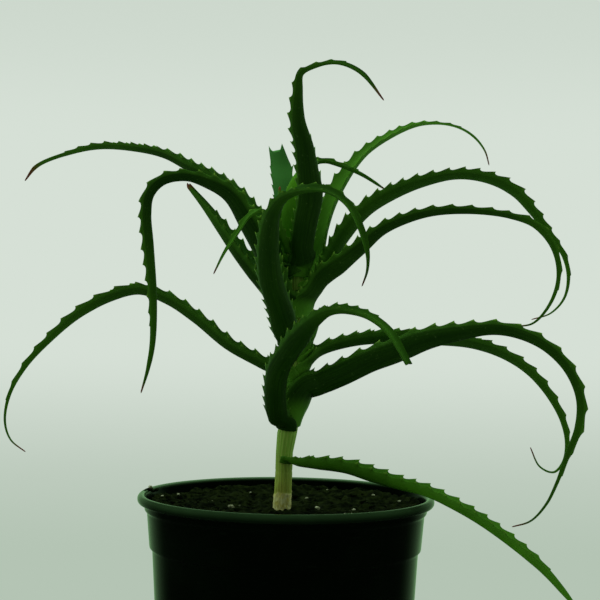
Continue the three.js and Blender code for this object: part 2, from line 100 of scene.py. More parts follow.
# Clods that have spilled onto the rim's left end and a pale chip among them, with their half sizes
RIM_CLODS = [
    ((-80, 11, 129.8), 1.7), ((-78.5, 16, 129.4), 1.8), ((-76, 20, 128.8), 1.6), ((-81.3, 7, 129.8), 1),
]
RIM_CHIP = ((-79, 13.5, 131), 1.4)

# Small grains strewn over the soil: how many there are of each kind, the least half size and how
# much larger they get, how far they stay from the stem's middle and from the soil's edge, and how
# flat they are
CRUMB_COUNT = 1100
CRUMB_SIZE = 0.5
CRUMB_SPREAD = 2.2
SMALL_PERLITE_COUNT = 40
SMALL_PERLITE_SIZE = 0.4
SMALL_PERLITE_SPREAD = 0.5
STREWN_FROM = 7.5
STREWN_EDGE = 2.5
GRAIN_FLATNESS = 0.8

# How finely the pieces are worked out
LEAF_STEP = 0.5
SPAN_STEPS = 60
BELLY_TURNS = (0, 0.02, 0.05, 0.1, 0.17, 0.26, 0.37, 0.5, 0.63, 0.74, 0.83, 0.9, 0.95, 0.98, 1)
CHANNEL_TURNS = (0.97, 0.9, 0.78, 0.64, 0.5, 0.36, 0.22, 0.1, 0.03)
POT_SECTORS = 256
DRILL_SIDES = 32
STEM_SECTORS = 96
SOIL_SECTORS = 420
SOIL_RINGS = 110
LATTICE = 64

# Teeth: the height on a broad leaf and that leaf's width, the slant out from the leaf's face, the
# share of the way to the next tooth that each flank takes, and the lean to the tip
TOOTH_HEIGHT = 2.4
BROAD_LEAF = 13
TOOTH_SLANT = math.radians(50)
ROOT_FLANK = 0.7
TIP_FLANK = 0.35
TOOTH_LEAN = 0.8

# Where the teeth start, in millimetres, and end, as a share of the leaf; how unevenly they are
# spaced; and the lengths near the root and, as a share, near the tip over which they are smaller
FIRST_TOOTH = 1.5
LAST_TOOTH = 0.86
TOOTH_SCATTER = 0.12
SMALL_NEAR_ROOT = 14
SMALL_NEAR_TIP = 0.3

# How much of a tooth's push reaches in from the edge, over the belly and over the channel: each is
# the rise of the section's sine from the edge, with the share left there
BELLY_FADE = ([0, 0.07, 0.17, 0.31], [1, 0.5, 0.12, 0])
CHANNEL_FADE = ([0, 0.1, 0.31], [1, 0.7, 0])

# A leaf's section: the power of the sine that rounds its belly, how deep its channel is as a share
# of its depth, and the length over which a tip closes
BELLY_ROUNDNESS = 0.85
CHANNEL_SHARE = 0.45
TIP_LENGTH = 1.2

# A leaf's outline: how much its edges waver, and over what length; and how ragged a torn end is, and
# over what length
EDGE_WAVE = 0.025
EDGE_WAVE_LENGTH = 9
RAGGEDNESS = 0.6
TORN_LENGTH = 7

# A clasping base: how far it reaches round the stem on each side in degrees, how thick it is, and
# the length over which the blade's roll comes in after it
FULL_WRAP = 140
BASE_DEPTH = 1.2
ROLL_LENGTH = 16

# How far a base stands off the stem at its foot, its middle and its top, and what each millimetre of
# its height adds there
FLARE = np.array([0.1, 0.4, 1])
FLARE_BY_HEIGHT = np.array([0, 0.08, 0.2])

# The heart of the plant, where leaf bases are stacked: how much thicker it is, its height, how far
# up and down from there it fades, how uneven it is from leaf to leaf, and the share of it that the
# foot, the middle and the top of a base get
HEART_SWELL = 2.6
HEART_HEIGHT = 248
HEART_SPREAD = 16
HEART_UNEVENNESS = 0.12
HEART_SHARES = np.array([0.8, 1, 1])

# Points along the middle of the stem, from its foot in the soil to the growing tip, with radii
STEM_LINE = np.array([
    (-2.5, 0, 84, 4.4), (-2.3, 0, 122, 4.8), (-1.6, 0, 140, 4.8), (-1.4, 0, 154, 4.8), (0, 0, 165, 5.6),
    (3.1, 0, 180, 5), (5.1, 0, 205, 4.6), (5.3, 0, 235, 4), (4.5, 0, 262, 3), (3, 1, 290, 1.6),
])

# The heights between which the stem is bare and worked out finely, and its ribs: how many go round
# it and how high they are
BARE_STEM = (118, 172)
BROAD_RIBS = 17
BROAD_RIB_HEIGHT = 0.10
FINE_RIBS = 41
FINE_RIB_HEIGHT = 0.05

# The cork at the stem's foot: the height of its edge and how much that wavers, its thickness and
# its roughness. Above it is one ring in the stem
CORK_HEIGHT = 131.5
CORK_WAVER = 1.6
CORK_THICKNESS = 0.25
CORK_ROUGHNESS = 0.28
RING_HEIGHT = 143.5
RING_DEPTH = 0.16

# Each leaf: the side of the stem that it grows from; the spacing of its teeth near the root and near
# the tip; how tall its clasping base is; how much of the tip is dry; its tone, from 0 for dark to 1
# for fresh green; its middle line from the stem to the tip; and its sections, each a fraction of its
# length with the width, the depth and the roll there. Some have a shorter reach round the stem
# (wrap), a torn end with two horns (notch) or a bluish film (bloom).
LEAVES = [
    dict(name="leaf_young_centre", azimuth=-100, teeth=(5, 7), clasp=2, dry=0, tone=1,
         midrib=[(2.5, -3, 262), (0.5, -5, 271), (0, -6, 284), (0.5, -6, 296), (2, -4, 307), (5, 0, 317)],
         sections=[(0, 10, 3.4, 0), (0.4, 12, 3.6, 0), (0.75, 9, 3, 0), (1, 0.6, 0.6, 0)]),
    dict(name="leaf_right_thin", azimuth=40, teeth=(4, 12), clasp=2, dry=5, tone=0.35,
         midrib=[(5.5, 2, 279), (8, 5, 288), (8.5, 8, 302), (9.5, 9, 313), (13.5, 10, 320),
                 (19.5, 11.5, 321.5), (26.5, 13, 320), (40.5, 19, 315), (56, 27, 306.5)],
         sections=[(0, 5, 3, 0), (0.5, 4, 2.6, 0), (0.75, 3, 2.2, 0), (0.92, 2.2, 1.6, 0),
                   (1, 0.6, 0.6, 0)]),
    dict(name="leaf_back_notched", azimuth=100, teeth=(7, 7), clasp=2, dry=0, tone=0.4,
         bloom=0.55, notch=4,
         midrib=[(2.5, 4, 274), (-1, 12, 284), (-3.5, 18, 297), (-5.5, 22, 311), (-7, 25, 320),
                 (-9, 26, 328)],
         sections=[(0, 9.72, 4, 0), (0.4, 12.42, 4.5, 0), (0.85, 12.42, 4.2, 0), (1, 8.1, 2.6, 0)]),
    dict(name="leaf_young_left", azimuth=185, teeth=(5, 6), clasp=2, dry=3, tone=0.5,
         midrib=[(1.5, 0, 269.3), (-4.5, 0, 281), (-6.5, 1, 292), (-6.5, 3, 306)],
         sections=[(0, 7, 3.5, 0), (0.6, 8, 3.5, 0), (1, 2, 1.2, 0)]),
    dict(name="leaf_left_small", azimuth=225, teeth=(5, 14), clasp=2, dry=5, tone=0.6,
         midrib=[(1.5, -3, 264.6), (-4.5, -12, 276), (-9.5, -22, 286), (-16.5, -32, 289.5),
                 (-22.5, -38, 286), (-28.5, -44, 276.5), (-35, -49, 265.5), (-40.5, -51, 254)],
         sections=[(0, 6, 3.5, 0), (0.5, 3.5, 2.2, 0), (0.75, 2.5, 1.8, 0), (1, 0.6, 0.6, 0)]),
    dict(name="leaf_front_tall", azimuth=-50, teeth=(6, 9), clasp=6, dry=9, tone=0.1,
         midrib=[(6.5, -4, 260), (7.5, -12, 271), (9, -19, 283.5), (11.5, -25, 298), (10, -31, 311),
                 (8, -36, 324), (4.4, -41, 338), (3.9, -46, 355), (4.9, -49, 363), (12.5, -52, 366.7),
                 (24.5, -58, 367.6), (36.5, -62, 362), (49, -64, 347)],
         sections=[(0, 12, 6, -30), (0.3, 14, 7, -30), (0.5, 9.2, 6, -15), (0.6, 7, 4.6, 20),
                   (0.68, 4.5, 3.2, 35), (0.76, 2.8, 2, 40), (0.9, 2.8, 2, 40), (1, 0.6, 0.6, 40)]),
    dict(name="leaf_left_top", azimuth=158, teeth=(6, 11), clasp=3, dry=14, tone=0.15,
         midrib=[(0.5, 2, 256), (-15.5, 8, 282), (-30.5, 14, 300.5), (-44.5, 19, 310.5), (-59.5, 24, 318),
                 (-75.5, 31, 326), (-93.5, 38, 330), (-115.5, 47, 331.5), (-135.5, 55, 328),
                 (-156.5, 64, 320.5), (-164.5, 67, 311.5)],
         sections=[(0, 11, 6, 0), (0.35, 11.5, 7, 0), (0.5, 9, 5, 0), (0.7, 6.5, 3.6, 0), (0.86, 3.2, 2, 0),
                   (0.95, 3.2, 1.8, 0), (1, 0.6, 0.6, 0)]),
    dict(name="leaf_right_back", azimuth=50, teeth=(7, 12), clasp=6, dry=12, tone=0.75,
         midrib=[(8.5, 5, 251), (16, 12, 266.5), (19, 16, 283), (23.5, 20, 298), (30, 25, 311),
                 (41.5, 33, 327), (58, 46, 340), (78.5, 64, 350), (99.5, 80, 351.5), (114, 93, 346.5),
                 (122.5, 100, 338), (126, 104, 329)],
         sections=[(0, 8.5, 5, 0), (0.3, 10, 5.4, 0), (0.45, 6.4, 3.6, 0), (0.6, 4.8, 2.8, 0),
                   (0.75, 2.6, 1.6, 0), (0.9, 1.8, 1.2, 0), (1, 0.6, 0.6, 0)]),
    dict(name="leaf_right_upper", azimuth=22, teeth=(6, 12), clasp=6, dry=10, tone=0.3,
         midrib=[(11, 3, 246), (21, 8, 261), (31.5, 11, 279.5), (43.5, 13, 293.5), (58, 15, 303),
                 (78, 18, 311.5), (99.5, 22, 316), (118.5, 26, 313.5), (132, 29, 307), (143.5, 33, 295.5),
                 (155, 36, 281), (163, 38, 270), (166, 38, 257.5), (163.5, 37, 244.5), (155.5, 36, 235.5),
                 (143.5, 33, 231.5)],
         sections=[(0, 10, 6.4, -30), (0.18, 13.5, 8.4, -30), (0.3, 12.5, 7.4, -25), (0.45, 10, 5.6, -10),
                   (0.6, 11, 6.4, 0), (0.7, 7, 4.4, 0), (0.8, 4, 2.6, 0), (0.9, 1.8, 1.4, 0),
                   (1, 0.6, 0.6, 0)]),
    dict(name="leaf_right_middle", azimuth=-18, teeth=(7, 13), clasp=12, dry=8, tone=0.15,
         midrib=[(9.5, -2, 242), (18.5, -5, 252), (30, -8, 261.5), (41, -9, 271), (51.5, -10, 280.5),
                 (64.5, -11, 287), (80.5, -12, 291.5), (102.5, -14, 292.5), (122.5, -16, 290),
                 (136, -18, 285.5), (144, -19, 278), (149, -20, 267.5), (150, -20, 254.5),
                 (145.5, -19, 240.5), (136.5, -18, 230), (125.5, -16, 228)],
         sections=[(0, 12, 6, -30), (0.15, 13, 6.6, -30), (0.3, 9.2, 5, -10), (0.5, 6, 3.8, 0),
                   (0.6, 5, 3, 0), (0.7, 6.6, 3.8, 0), (0.82, 3.4, 2.2, 0), (0.92, 1.8, 1.4, 0),
                   (1, 0.6, 0.6, 0)]),
    dict(name="leaf_left_drooping", azimuth=205, teeth=(7, 10), clasp=6, dry=6, tone=0.08,
         midrib=[(0.5, -4, 238), (-12.5, -12, 262), (-24.5, -15, 284), (-34.5, -15, 299), (-47.5, -15, 306),
                 (-59.5, -15, 309), (-72, -14, 306.5), (-79, -13, 299), (-80.5, -13, 288), (-79, -13, 272),
                 (-76, -13, 240), (-76, -13, 216), (-78.5, -13, 201), (-82.5, -13, 187)],
         sections=[(0, 10, 5.5, 0), (0.12, 18, 9, 0), (0.24, 17, 8.8, 0), (0.32, 12, 7.4, 0),
                   (0.42, 6.8, 4.6, 0), (0.65, 7, 4.4, 0), (0.8, 4.8, 3.2, 0), (0.92, 2.8, 2.2, 0),
                   (1, 0.6, 0.6, 0)]),
    dict(name="leaf_left_torn", azimuth=155, teeth=(8, 8), clasp=12, dry=3, tone=0.12, notch=1.5,
         midrib=[(0.5, 3, 231), (-14.5, 11, 249), (-28, 16, 265.5), (-40, 19, 281.5), (-51, 21, 296),
                 (-60, 24, 306.5)],
         sections=[(0, 10, 6, 0), (0.2, 14.04, 8, 5), (0.4, 16.2, 9, 5), (0.6, 12.96, 7.4, 5),
                   (0.85, 7.56, 4.4, 5), (1, 4, 2.6, 5)]),
    dict(name="leaf_front_curled", azimuth=250, teeth=(7, 9), clasp=5, dry=5, tone=0.12,
         midrib=[(2.5, -4, 212), (-0.5, -13, 219.5), (-3.5, -24, 231.5), (-7, -36, 242.5), (-9.5, -46, 252),
                 (-10.5, -55, 263), (-10, -64, 275), (-8.5, -72, 284), (-3.5, -81, 293), (6, -90, 297),
                 (19, -99, 296.5), (28.5, -106, 290), (34.5, -111, 280), (39, -115, 265), (39, -117, 256),
                 (36.5, -118, 248)],
         sections=[(0, 12, 6.5, 25), (0.12, 14.5, 7.4, 25), (0.3, 13, 7.2, 25), (0.45, 11, 6, 35),
                   (0.58, 7, 4.4, 60), (0.68, 4, 3.2, 80), (0.78, 3.4, 2.8, 80), (0.88, 3.4, 2.4, 80),
                   (0.94, 1.6, 1.4, 80), (1, 0.6, 0.6, 80)]),
    dict(name="leaf_right_short", azimuth=50, teeth=(5, 6), clasp=6, dry=0, tone=0.6,
         midrib=[(7.5, 4, 210), (11.5, 8, 218), (15.5, 12, 227), (18, 16, 237)],
         sections=[(0, 8, 4.5, 0), (0.5, 9, 4, 0), (1, 0.8, 0.8, 0)]),
    dict(name="leaf_right_low_back", azimuth=13, teeth=(8, 13), clasp=12, dry=8, tone=0.25,
         midrib=[(9.5, 1, 205), (17.5, 3, 211.5), (32.5, 6, 217), (52.5, 10, 220), (83.5, 18, 219.5),
                 (108.5, 24, 217), (127.5, 28, 210.5), (143, 32, 200.5), (155.5, 35, 186.5),
                 (164, 37, 171), (166.5, 37, 158), (164.5, 37, 147), (158.5, 35, 141), (150, 33, 144.5),
                 (144, 32, 156)],
         sections=[(0, 8.5, 5.2, 0), (0.3, 13.5, 7.8, 0), (0.5, 10, 6, 0), (0.65, 7, 4.4, 0),
                   (0.78, 4.2, 3, 0), (0.88, 1.8, 1.4, 0), (1, 0.6, 0.6, 0)]),
    dict(name="leaf_left_low", azimuth=174, teeth=(9, 14), clasp=5, dry=9, tone=0.25,
         midrib=[(0.5, 1, 197), (-15.5, 2, 204.9), (-34.5, 4, 214.9), (-53, 6, 229.4), (-69.5, 7, 240),
                 (-86.5, 9, 245.5), (-104, 11, 241), (-122, 13, 231), (-139, 15, 216), (-153, 16, 200),
                 (-162, 17, 183.5), (-164.5, 17, 167.5), (-161, 17, 157), (-152, 16, 150)],
         sections=[(0, 12.5, 6.8, 0), (0.3, 11, 6.2, 0), (0.55, 9, 5.6, 0), (0.75, 4.6, 2.8, 0),
                   (0.88, 1.8, 1.4, 0), (1, 0.6, 0.6, 0)]),
    dict(name="leaf_right_low_front", azimuth=-35, teeth=(9, 14), clasp=20, wrap=125, dry=9, tone=0.1,
         midrib=[(7.5, -1, 189), (18, -3, 192.5), (32, -6, 199), (46, -8, 206), (61, -12, 212),
                 (76.5, -15, 218.5), (94.5, -19, 223), (114.5, -23, 226), (129, -26, 223.5),
                 (143, -29, 216.5), (154.5, -31, 204.5), (160.5, -33, 189.5), (160, -33, 174),
                 (154.5, -32, 158.5), (149, -31, 142.5), (143.5, -30, 130.5), (135.5, -28, 121),
                 (125.5, -25, 117)],
         sections=[(0, 14, 8.8, -30), (0.3, 14, 8.6, -25), (0.45, 8, 5.2, -10), (0.6, 6.8, 4.4, 0),
                   (0.75, 4.8, 3.6, 0), (0.86, 2, 1.6, 0), (1, 0.6, 0.6, 0)]),
    dict(name="leaf_front_low", azimuth=245, teeth=(7, 7), clasp=1, wrap=75, dry=0, tone=0.1, notch=1,
         midrib=[(1.5, -4, 168), (-5, -9, 173), (-6.5, -17, 182.5), (-6.5, -25, 193), (-4.5, -33, 202.5),
                 (0.5, -42, 211), (7, -51, 220.5), (13, -60, 228.5), (22, -69, 235.5), (33.5, -76, 235.5),
                 (43.5, -83, 232), (52.5, -89, 224.5), (61.5, -93, 209.5)],
         sections=[(0, 12, 6, 25), (0.3, 12.5, 7.4, 25), (0.45, 13, 7, 35), (0.6, 8.2, 6, 60),
                   (0.7, 5, 4, 75), (0.78, 4.2, 3.4, 75), (0.88, 4.8, 3.2, 75), (1, 4, 2.6, 60)]),
    dict(name="leaf_over_rim", azimuth=-60, teeth=(9, 9), clasp=1, wrap=55, dry=0, tone=0.6,
         midrib=[(-1.5, -6, 149), (6.5, -10, 149.5), (18.5, -17, 149.5), (33.5, -24, 148.5), (47, -30, 145),
                 (61, -37, 141.5), (75.5, -44, 138.5), (89, -51, 133), (103.5, -58, 125.5),
                 (120, -64, 114.5), (135, -69, 102.5), (147.5, -73, 89), (155.5, -76, 79)],
         sections=[(0, 5, 3.6, 0), (0.12, 10.5, 6.8, 0), (0.28, 12, 7.4, 0), (0.4, 9.6, 6, 0),
                   (0.5, 9, 5.2, 0), (0.65, 7.8, 5, 0), (0.8, 6.6, 4.8, 0), (0.92, 4, 3, 0),
                   (1, 0.8, 0.8, 0)]),
]


def smooth(x):
    """Goes from 0 to 1 as x does, flat at both ends: 3x^2 - 2x^3, held outside."""
    x = np.clip(x, 0, 1)
    return x * x * (3 - 2 * x)


def lattice_noise(x, y, seed):
    """Smooth noise from -1 to 1: random values on a square lattice, blended by smooth steps."""
    table = np.random.default_rng(seed).uniform(-1, 1, (LATTICE, LATTICE))
    column, row = np.floor(x).astype(int), np.floor(y).astype(int)
    across, up = smooth(x - column), smooth(y - row)
    left, right = column % LATTICE, (column + 1) % LATTICE
    under, over = row % LATTICE, (row + 1) % LATTICE
    low = table[left, under] * (1 - across) + table[right, under] * across
    high = table[left, over] * (1 - across) + table[right, over] * across
    return low * (1 - up) + high * up


def curve_through(points, step):
    """A centripetal spline through the points, as evenly spaced places, and how far along each is.

    Between two points it is a cubic with slopes from the neighbours, each weighed by the square
    root of the distance to it; past an end the end span is mirrored.
    """
    p = np.array(points, float)
    p = np.vstack([2 * p[0] - p[1], p, 2 * p[-1] - p[-2]])
    gap = np.sqrt(np.linalg.norm(np.diff(p, axis=0), axis=1))[:, None]
    start, end = p[1:-2], p[2:-1]
    before, here, after = gap[:-2], gap[1:-1], gap[2:]
    first = ((start - p[:-3]) / before - (end - p[:-3]) / (before + here) + (end - start) / here) * here
    second = ((end - start) / here - (p[3:] - start) / (here + after) + (p[3:] - end) / after) * here
    t = np.linspace(0, 1, SPAN_STEPS, endpoint=False)[:, None, None]
    places = (start + first * t + (3 * (end - start) - 2 * first - second) * t ** 2
              + (first + second - 2 * (end - start)) * t ** 3)
    places = np.vstack([places.transpose(1, 0, 2).reshape(-1, 3), p[-2]])
    travel = np.concatenate([[0], np.cumsum(np.linalg.norm(np.diff(places, axis=0), axis=1))])
    count = max(8, int(round(travel[-1] / step)))
    even = np.linspace(0, travel[-1], count + 1)
    return np.stack([np.interp(even, travel, places[:, axis]) for axis in range(3)], 1), even


def mesh_object(name, points, faces):
    """A closed piece from its points, in metres, and faces; smooth shaded, riding on the one body."""
    mesh = bpy.data.meshes.new(name)
    mesh.from_pydata(np.asarray(points).tolist(), [], faces)
    mesh.shade_smooth()
    mesh.update()
    piece = bpy.data.objects.new(name, mesh)
    bpy.context.scene.collection.objects.link(piece)
    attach(piece, "root")
    return piece


def tube_faces(rings, sides, closed_ends=True):
    """Quads between rings that each have the same number of points, with a face over each end."""
    ring = np.arange(rings - 1)[:, None] * sides
    side = np.arange(sides)[None, :]
    near, far = ring + side, ring + (side + 1) % sides
    quads = np.stack([near, far, far + sides, near + sides], -1).reshape(-1, 4).tolist()
    if closed_ends:
        quads.append(list(range(sides))[::-1])
        quads.append(list(range((rings - 1) * sides, rings * sides)))
    return quads


def set_values(piece, name, values):
    """Stores a number for every point of a piece, for its material to read."""
    attribute = piece.data.attributes.new(name, "FLOAT", "POINT")
    attribute.data.foreach_set("value", np.asarray(values, np.float32).ravel())


def stem_at(height):
    """The stem's middle and radius at a height, in straight runs between its rows."""
    x, y, radius = (np.interp(height, STEM_LINE[:, 2], STEM_LINE[:, column]) for column in (0, 1, 3))
    return np.stack([x, y, height * np.ones_like(x)], -1), radius


def tooth_places(length, spacing, start, seed):
    """Places along an edge: each step is the spacing there, drawn out to the tip, give or take the
    scatter."""
    rng = np.random.default_rng(seed)
    places = []
    place = start
    while place < LAST_TOOTH * length:
        places.append(place)
        share = place / length
        step = spacing[0] * (1 - share) + spacing[1] * share
        place += step * rng.uniform(1 - TOOTH_SCATTER, 1 + TOOTH_SCATTER)
    return np.array(places)


def cusps(travel, places):
    """Height from 0 to 1 of a row of hooked teeth with hollow arcs between them.

    With t the share of the way from one tooth to the next, the height is (1 - t / TIP_FLANK)^2
    just past a tooth and ((t - 1) / ROOT_FLANK + 1)^2 before the next, and nothing between.
    """
    before = np.clip(np.searchsorted(places, travel, side="right") - 1, 0, len(places) - 2)
    t = (travel - places[before]) / (places[before + 1] - places[before])
    steep = np.clip(1 - t / TIP_FLANK, 0, 1) ** 2
    gentle = np.clip((t - 1) / ROOT_FLANK + 1, 0, 1) ** 2
    return np.where((t >= 0) & (t <= 1), np.maximum(steep, gentle), 0)


def clasped_line(leaf, number):
    """A leaf's middle line, how far along each of its places is, and the radius of the base's roll.

    The first three points climb the stem at the leaf's side, each outside the stem's radius by the
    gap and by a flare that grows up the base, with the base's height and on a thin stem. To that
    comes the heart's swell, a bell curve of the root's height, a little less on two leaves of three.
    """
    turn = math.radians(leaf["azimuth"])
    outward = np.array([math.cos(turn), math.sin(turn), 0])
    clasp = leaf["clasp"]
    root = leaf["midrib"][0][2]
    low, high = root - clasp, root + 1
    centres, radii = stem_at(np.array([low, (low + high) / 2, high]))
    thinness = 0.5 + 9 / (6 + radii[0] ** 2)
    flare = (FLARE + FLARE_BY_HEIGHT * clasp) * thinness
    heart = HEART_SWELL * math.exp(-((root - HEART_HEIGHT) / HEART_SPREAD) ** 2)
    heart = heart * (1 - HEART_UNEVENNESS * (number % 3))
    reach = radii + SHEATH_GAP + (flare + heart * HEART_SHARES)
    hug = centres + outward * reach[:, None]
    line, travel = curve_through([*hug, *leaf["midrib"][1:]], LEAF_STEP)
    return line, travel, reach[1]


def carried_directions(line, azimuth):
    """The direction along a line and the one to its side, at each of its places.

    The side starts level and square to the way out of the stem. From place to place it loses what
    points along the line and is made one long again, so it never spins round the line.
    """
    along = np.gradient(line, axis=0)
    along /= np.linalg.norm(along, axis=1, keepdims=True)
    side = np.zeros_like(line)
    turn = math.radians(azimuth)
    current = np.array([-math.sin(turn), math.cos(turn), 0])
    for station, direction in enumerate(along):
        current = current - direction * current.dot(direction)
        current = current / np.linalg.norm(current)
        side[station] = current
    return along, side


def leaf_form(leaf, number):
    """A leaf's points and the values that its material reads: a crescent section carried along the
    middle line.

    Across the leaf the section runs from edge to edge as a = -cos(pi t). The belly hangs below the
    edges by depth times sin(pi t)^BELLY_ROUNDNESS, and the channel dips between them by
    CHANNEL_SHARE of the depth times sin(pi t)^2. At the root the strip is rolled round the stem as
    a clasping base, with a curvature that fades out along the blade as it opens. Teeth push the
    edges out and up, and lean to the tip by the square of their push. A torn end is drawn out at
    both edges by the fourth power of a, with a ragged noise.
    """
    line, travel, radius = clasped_line(leaf, number)
    length = travel[-1]
    share = travel / length
    from_end = length - travel
    clasp = leaf["clasp"]
    notch = leaf.get("notch")

    rows = np.array(leaf["sections"], float)
    width, depth, roll = (np.interp(share, rows[:, 0], rows[:, column]) for column in (1, 2, 3))
    roll = np.radians(roll) * smooth((travel - clasp) / ROLL_LENGTH)
    along, side = carried_directions(line, leaf["azimuth"])
    side = side * np.cos(roll)[:, None] + np.cross(along, side) * np.sin(roll)[:, None]
    up = np.cross(along, side)

    # How far the clasping base has opened into the blade, and how far a whole tip has closed
    opening_start = 0.15 * clasp
    opening_run = 5 + clasp + 0.35 * width.max()
    opening = smooth((travel - opening_start) / opening_run)
    closing = 1 if notch else np.sqrt(np.clip(from_end / TIP_LENGTH, 0, 1))
    bend = np.maximum((1 - opening) / radius, 1e-6)[:, None]
    base_half = radius * math.radians(leaf.get("wrap", FULL_WRAP))
    half = (base_half * (1 - opening) + width / 2 * opening) * closing
    belly_depth = (BASE_DEPTH * (1 - opening) + depth * opening) * closing
    channel_depth = CHANNEL_SHARE * depth * opening * closing
    lift = depth / 2 * opening * closing

    turns = np.array(BELLY_TURNS + CHANNEL_TURNS)
    is_belly = np.arange(len(turns)) < len(BELLY_TURNS)
    across = -np.cos(np.pi * turns)
    hang = np.abs(np.sin(np.pi * turns))
    drop = np.where(is_belly, belly_depth[:, None] * hang ** BELLY_ROUNDNESS,
                    channel_depth[:, None] * hang ** 2)
    own_row = number + 0.5
    wave = lattice_noise(travel / EDGE_WAVE_LENGTH, np.full_like(travel, own_row), SEED)
    swing = across[None, :] * (half * (1 + EDGE_WAVE * wave))[:, None] * bend
    flat_x = np.sin(swing) / bend + drop * np.sin(swing)
    flat_y = (1 - np.cos(swing)) / bend - drop * np.cos(swing) + lift[:, None]

    # Teeth on the left edge and, half a step on, on the right one
    tall = TOOTH_HEIGHT * np.clip(0.25 + 0.85 * width / BROAD_LEAF, 0, 1)
    tall = tall * smooth(from_end / (SMALL_NEAR_TIP * length))
    tall = tall * (0.4 + 0.6 * smooth(travel / SMALL_NEAR_ROOT))
    spacing = leaf["teeth"]
    left_row = cusps(travel, tooth_places(length, spacing, FIRST_TOOTH, number * 2))
    right_row = cusps(travel, tooth_places(length, spacing, FIRST_TOOTH + spacing[0] / 2, number * 2 + 1))
    nearness = np.where(is_belly, np.interp(hang, *BELLY_FADE), np.interp(hang, *CHANNEL_FADE))
    tooth = np.where(across[None, :] < 0, left_row[:, None], right_row[:, None])
    push = tooth * tall[:, None] * nearness[None, :]
    flat_x += np.sign(across) * push * np.cos(TOOTH_SLANT)
    flat_y += push * np.sin(TOOTH_SLANT)
    forward = TOOTH_LEAN * push ** 2 / TOOTH_HEIGHT
    if notch:
        ragged = RAGGEDNESS * lattice_noise(across * 3 + 7, np.full_like(across, own_row), SEED + 1)
        horn = notch * np.abs(across) ** 4 + ragged
        forward = forward + horn[None, :] * smooth(1 - from_end / TORN_LENGTH)[:, None]

    points = (line[:, None, :] + flat_x[..., None] * side[:, None, :] + flat_y[..., None] * up[:, None, :]
              + forward[..., None] * along[:, None, :])
    full = np.ones_like(points[..., 0])
    values = {
        "across": across[None, :] * full,
        "travel": travel[:, None] * full * 0.01,
        "belly": np.where(is_belly, hang, -hang)[None, :] * full,
        "tooth": tooth * nearness[None, :] * smooth(tall / 1.2)[:, None],
        "dry": smooth(1.3 - from_end[:, None] * full / max(leaf["dry"], 0.1)) * min(leaf["dry"], 1),
        "clasp": (1 - opening)[:, None] * min(clasp / 5, 1) * full,
        "tone": np.minimum(leaf["tone"] + 0.3 * smooth((share - 0.45) / 0.4), 1)[:, None] * full,
        "bloom": leaf.get("bloom", 0) * full,
    }
    return points, values


def leaf_piece(leaf, number):
    """One leaf, closed at both ends, in place of the plain one."""
    points, values = leaf_form(leaf, number)
    faces = tube_faces(*points.shape[:2])
    piece = mesh_object(leaf["name"] + "_fine", points.reshape(-1, 3) * MM, faces)
    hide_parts(leaf["name"])
    for name, value in values.items():
        set_values(piece, name, value)
    return piece


def stem_piece():
    """The stem: a round rod whose radius follows its rows.

    Two sine waves round it, which shift slowly with height, make broad and fine lengthwise ribs.
    Below a wavering line the radius has a rough corky sleeve of lattice noise. A bell curve of the
    height cuts a shallow ring under the first leaf.
    """
    low, high = BARE_STEM
    heights = np.concatenate([np.arange(84, low, 2.0), np.arange(low, high, 0.4),
                              np.arange(high, 290.1, 2.0)])
    angle = np.linspace(0, 2 * np.pi, STEM_SECTORS, endpoint=False)[None, :]
    centre, radius = stem_at(heights)
    z = heights[:, None]
    grid = 0 * angle + 0 * z
    broad_ribs = np.sin(BROAD_RIBS * angle + 1.5 * np.sin(z / 19))
    ribs = BROAD_RIB_HEIGHT * broad_ribs + FINE_RIB_HEIGHT * np.sin(FINE_RIBS * angle + z / 11)
    bark_line = CORK_HEIGHT + CORK_WAVER * lattice_noise(angle * 6 / np.pi + grid, grid + 0.5, SEED + 2)
    bark = smooth((bark_line - z) / 1.2)
    rough = CORK_ROUGHNESS * lattice_noise(angle * 24 / np.pi + grid, z / 1.1 + grid, SEED + 3)
    scar = RING_DEPTH * np.exp(-((z - RING_HEIGHT - 0.5 * np.sin(angle)) / 0.7) ** 2)
    ring = radius[:, None] + ribs * (1 - bark) + bark * (CORK_THICKNESS + rough) - scar
    x = centre[:, :1] + ring * np.cos(angle)
    y = centre[:, 1:2] + ring * np.sin(angle)
    points = np.stack([x, y, z + grid], -1).reshape(-1, 3)
    piece = mesh_object("stem_fine", points * MM, tube_faces(len(heights), STEM_SECTORS))
    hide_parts("stem")
    set_values(piece, "bark", bark)
    set_values(piece, "ribs", broad_ribs)
    return piece


def rounded(corners, radius, steps=5):
    """An outline whose corners are eased by short parabolas, at most half an edge long."""
    corners = np.array(corners, float)
    outline = [corners[0]]
    for before, corner, after in zip(corners[:-2], corners[1:-1], corners[2:]):
        to_before, to_after = before - corner, after - corner
        start = corner + to_before * min(radius / np.linalg.norm(to_before), 0.45)
        end = corner + to_after * min(radius / np.linalg.norm(to_after), 0.45)
        for t in np.linspace(0, 1, steps):
            outline.append(start * (1 - t) ** 2 + corner * 2 * t * (1 - t) + end * t ** 2)
    outline.append(corners[-1])
    return np.array(outline)


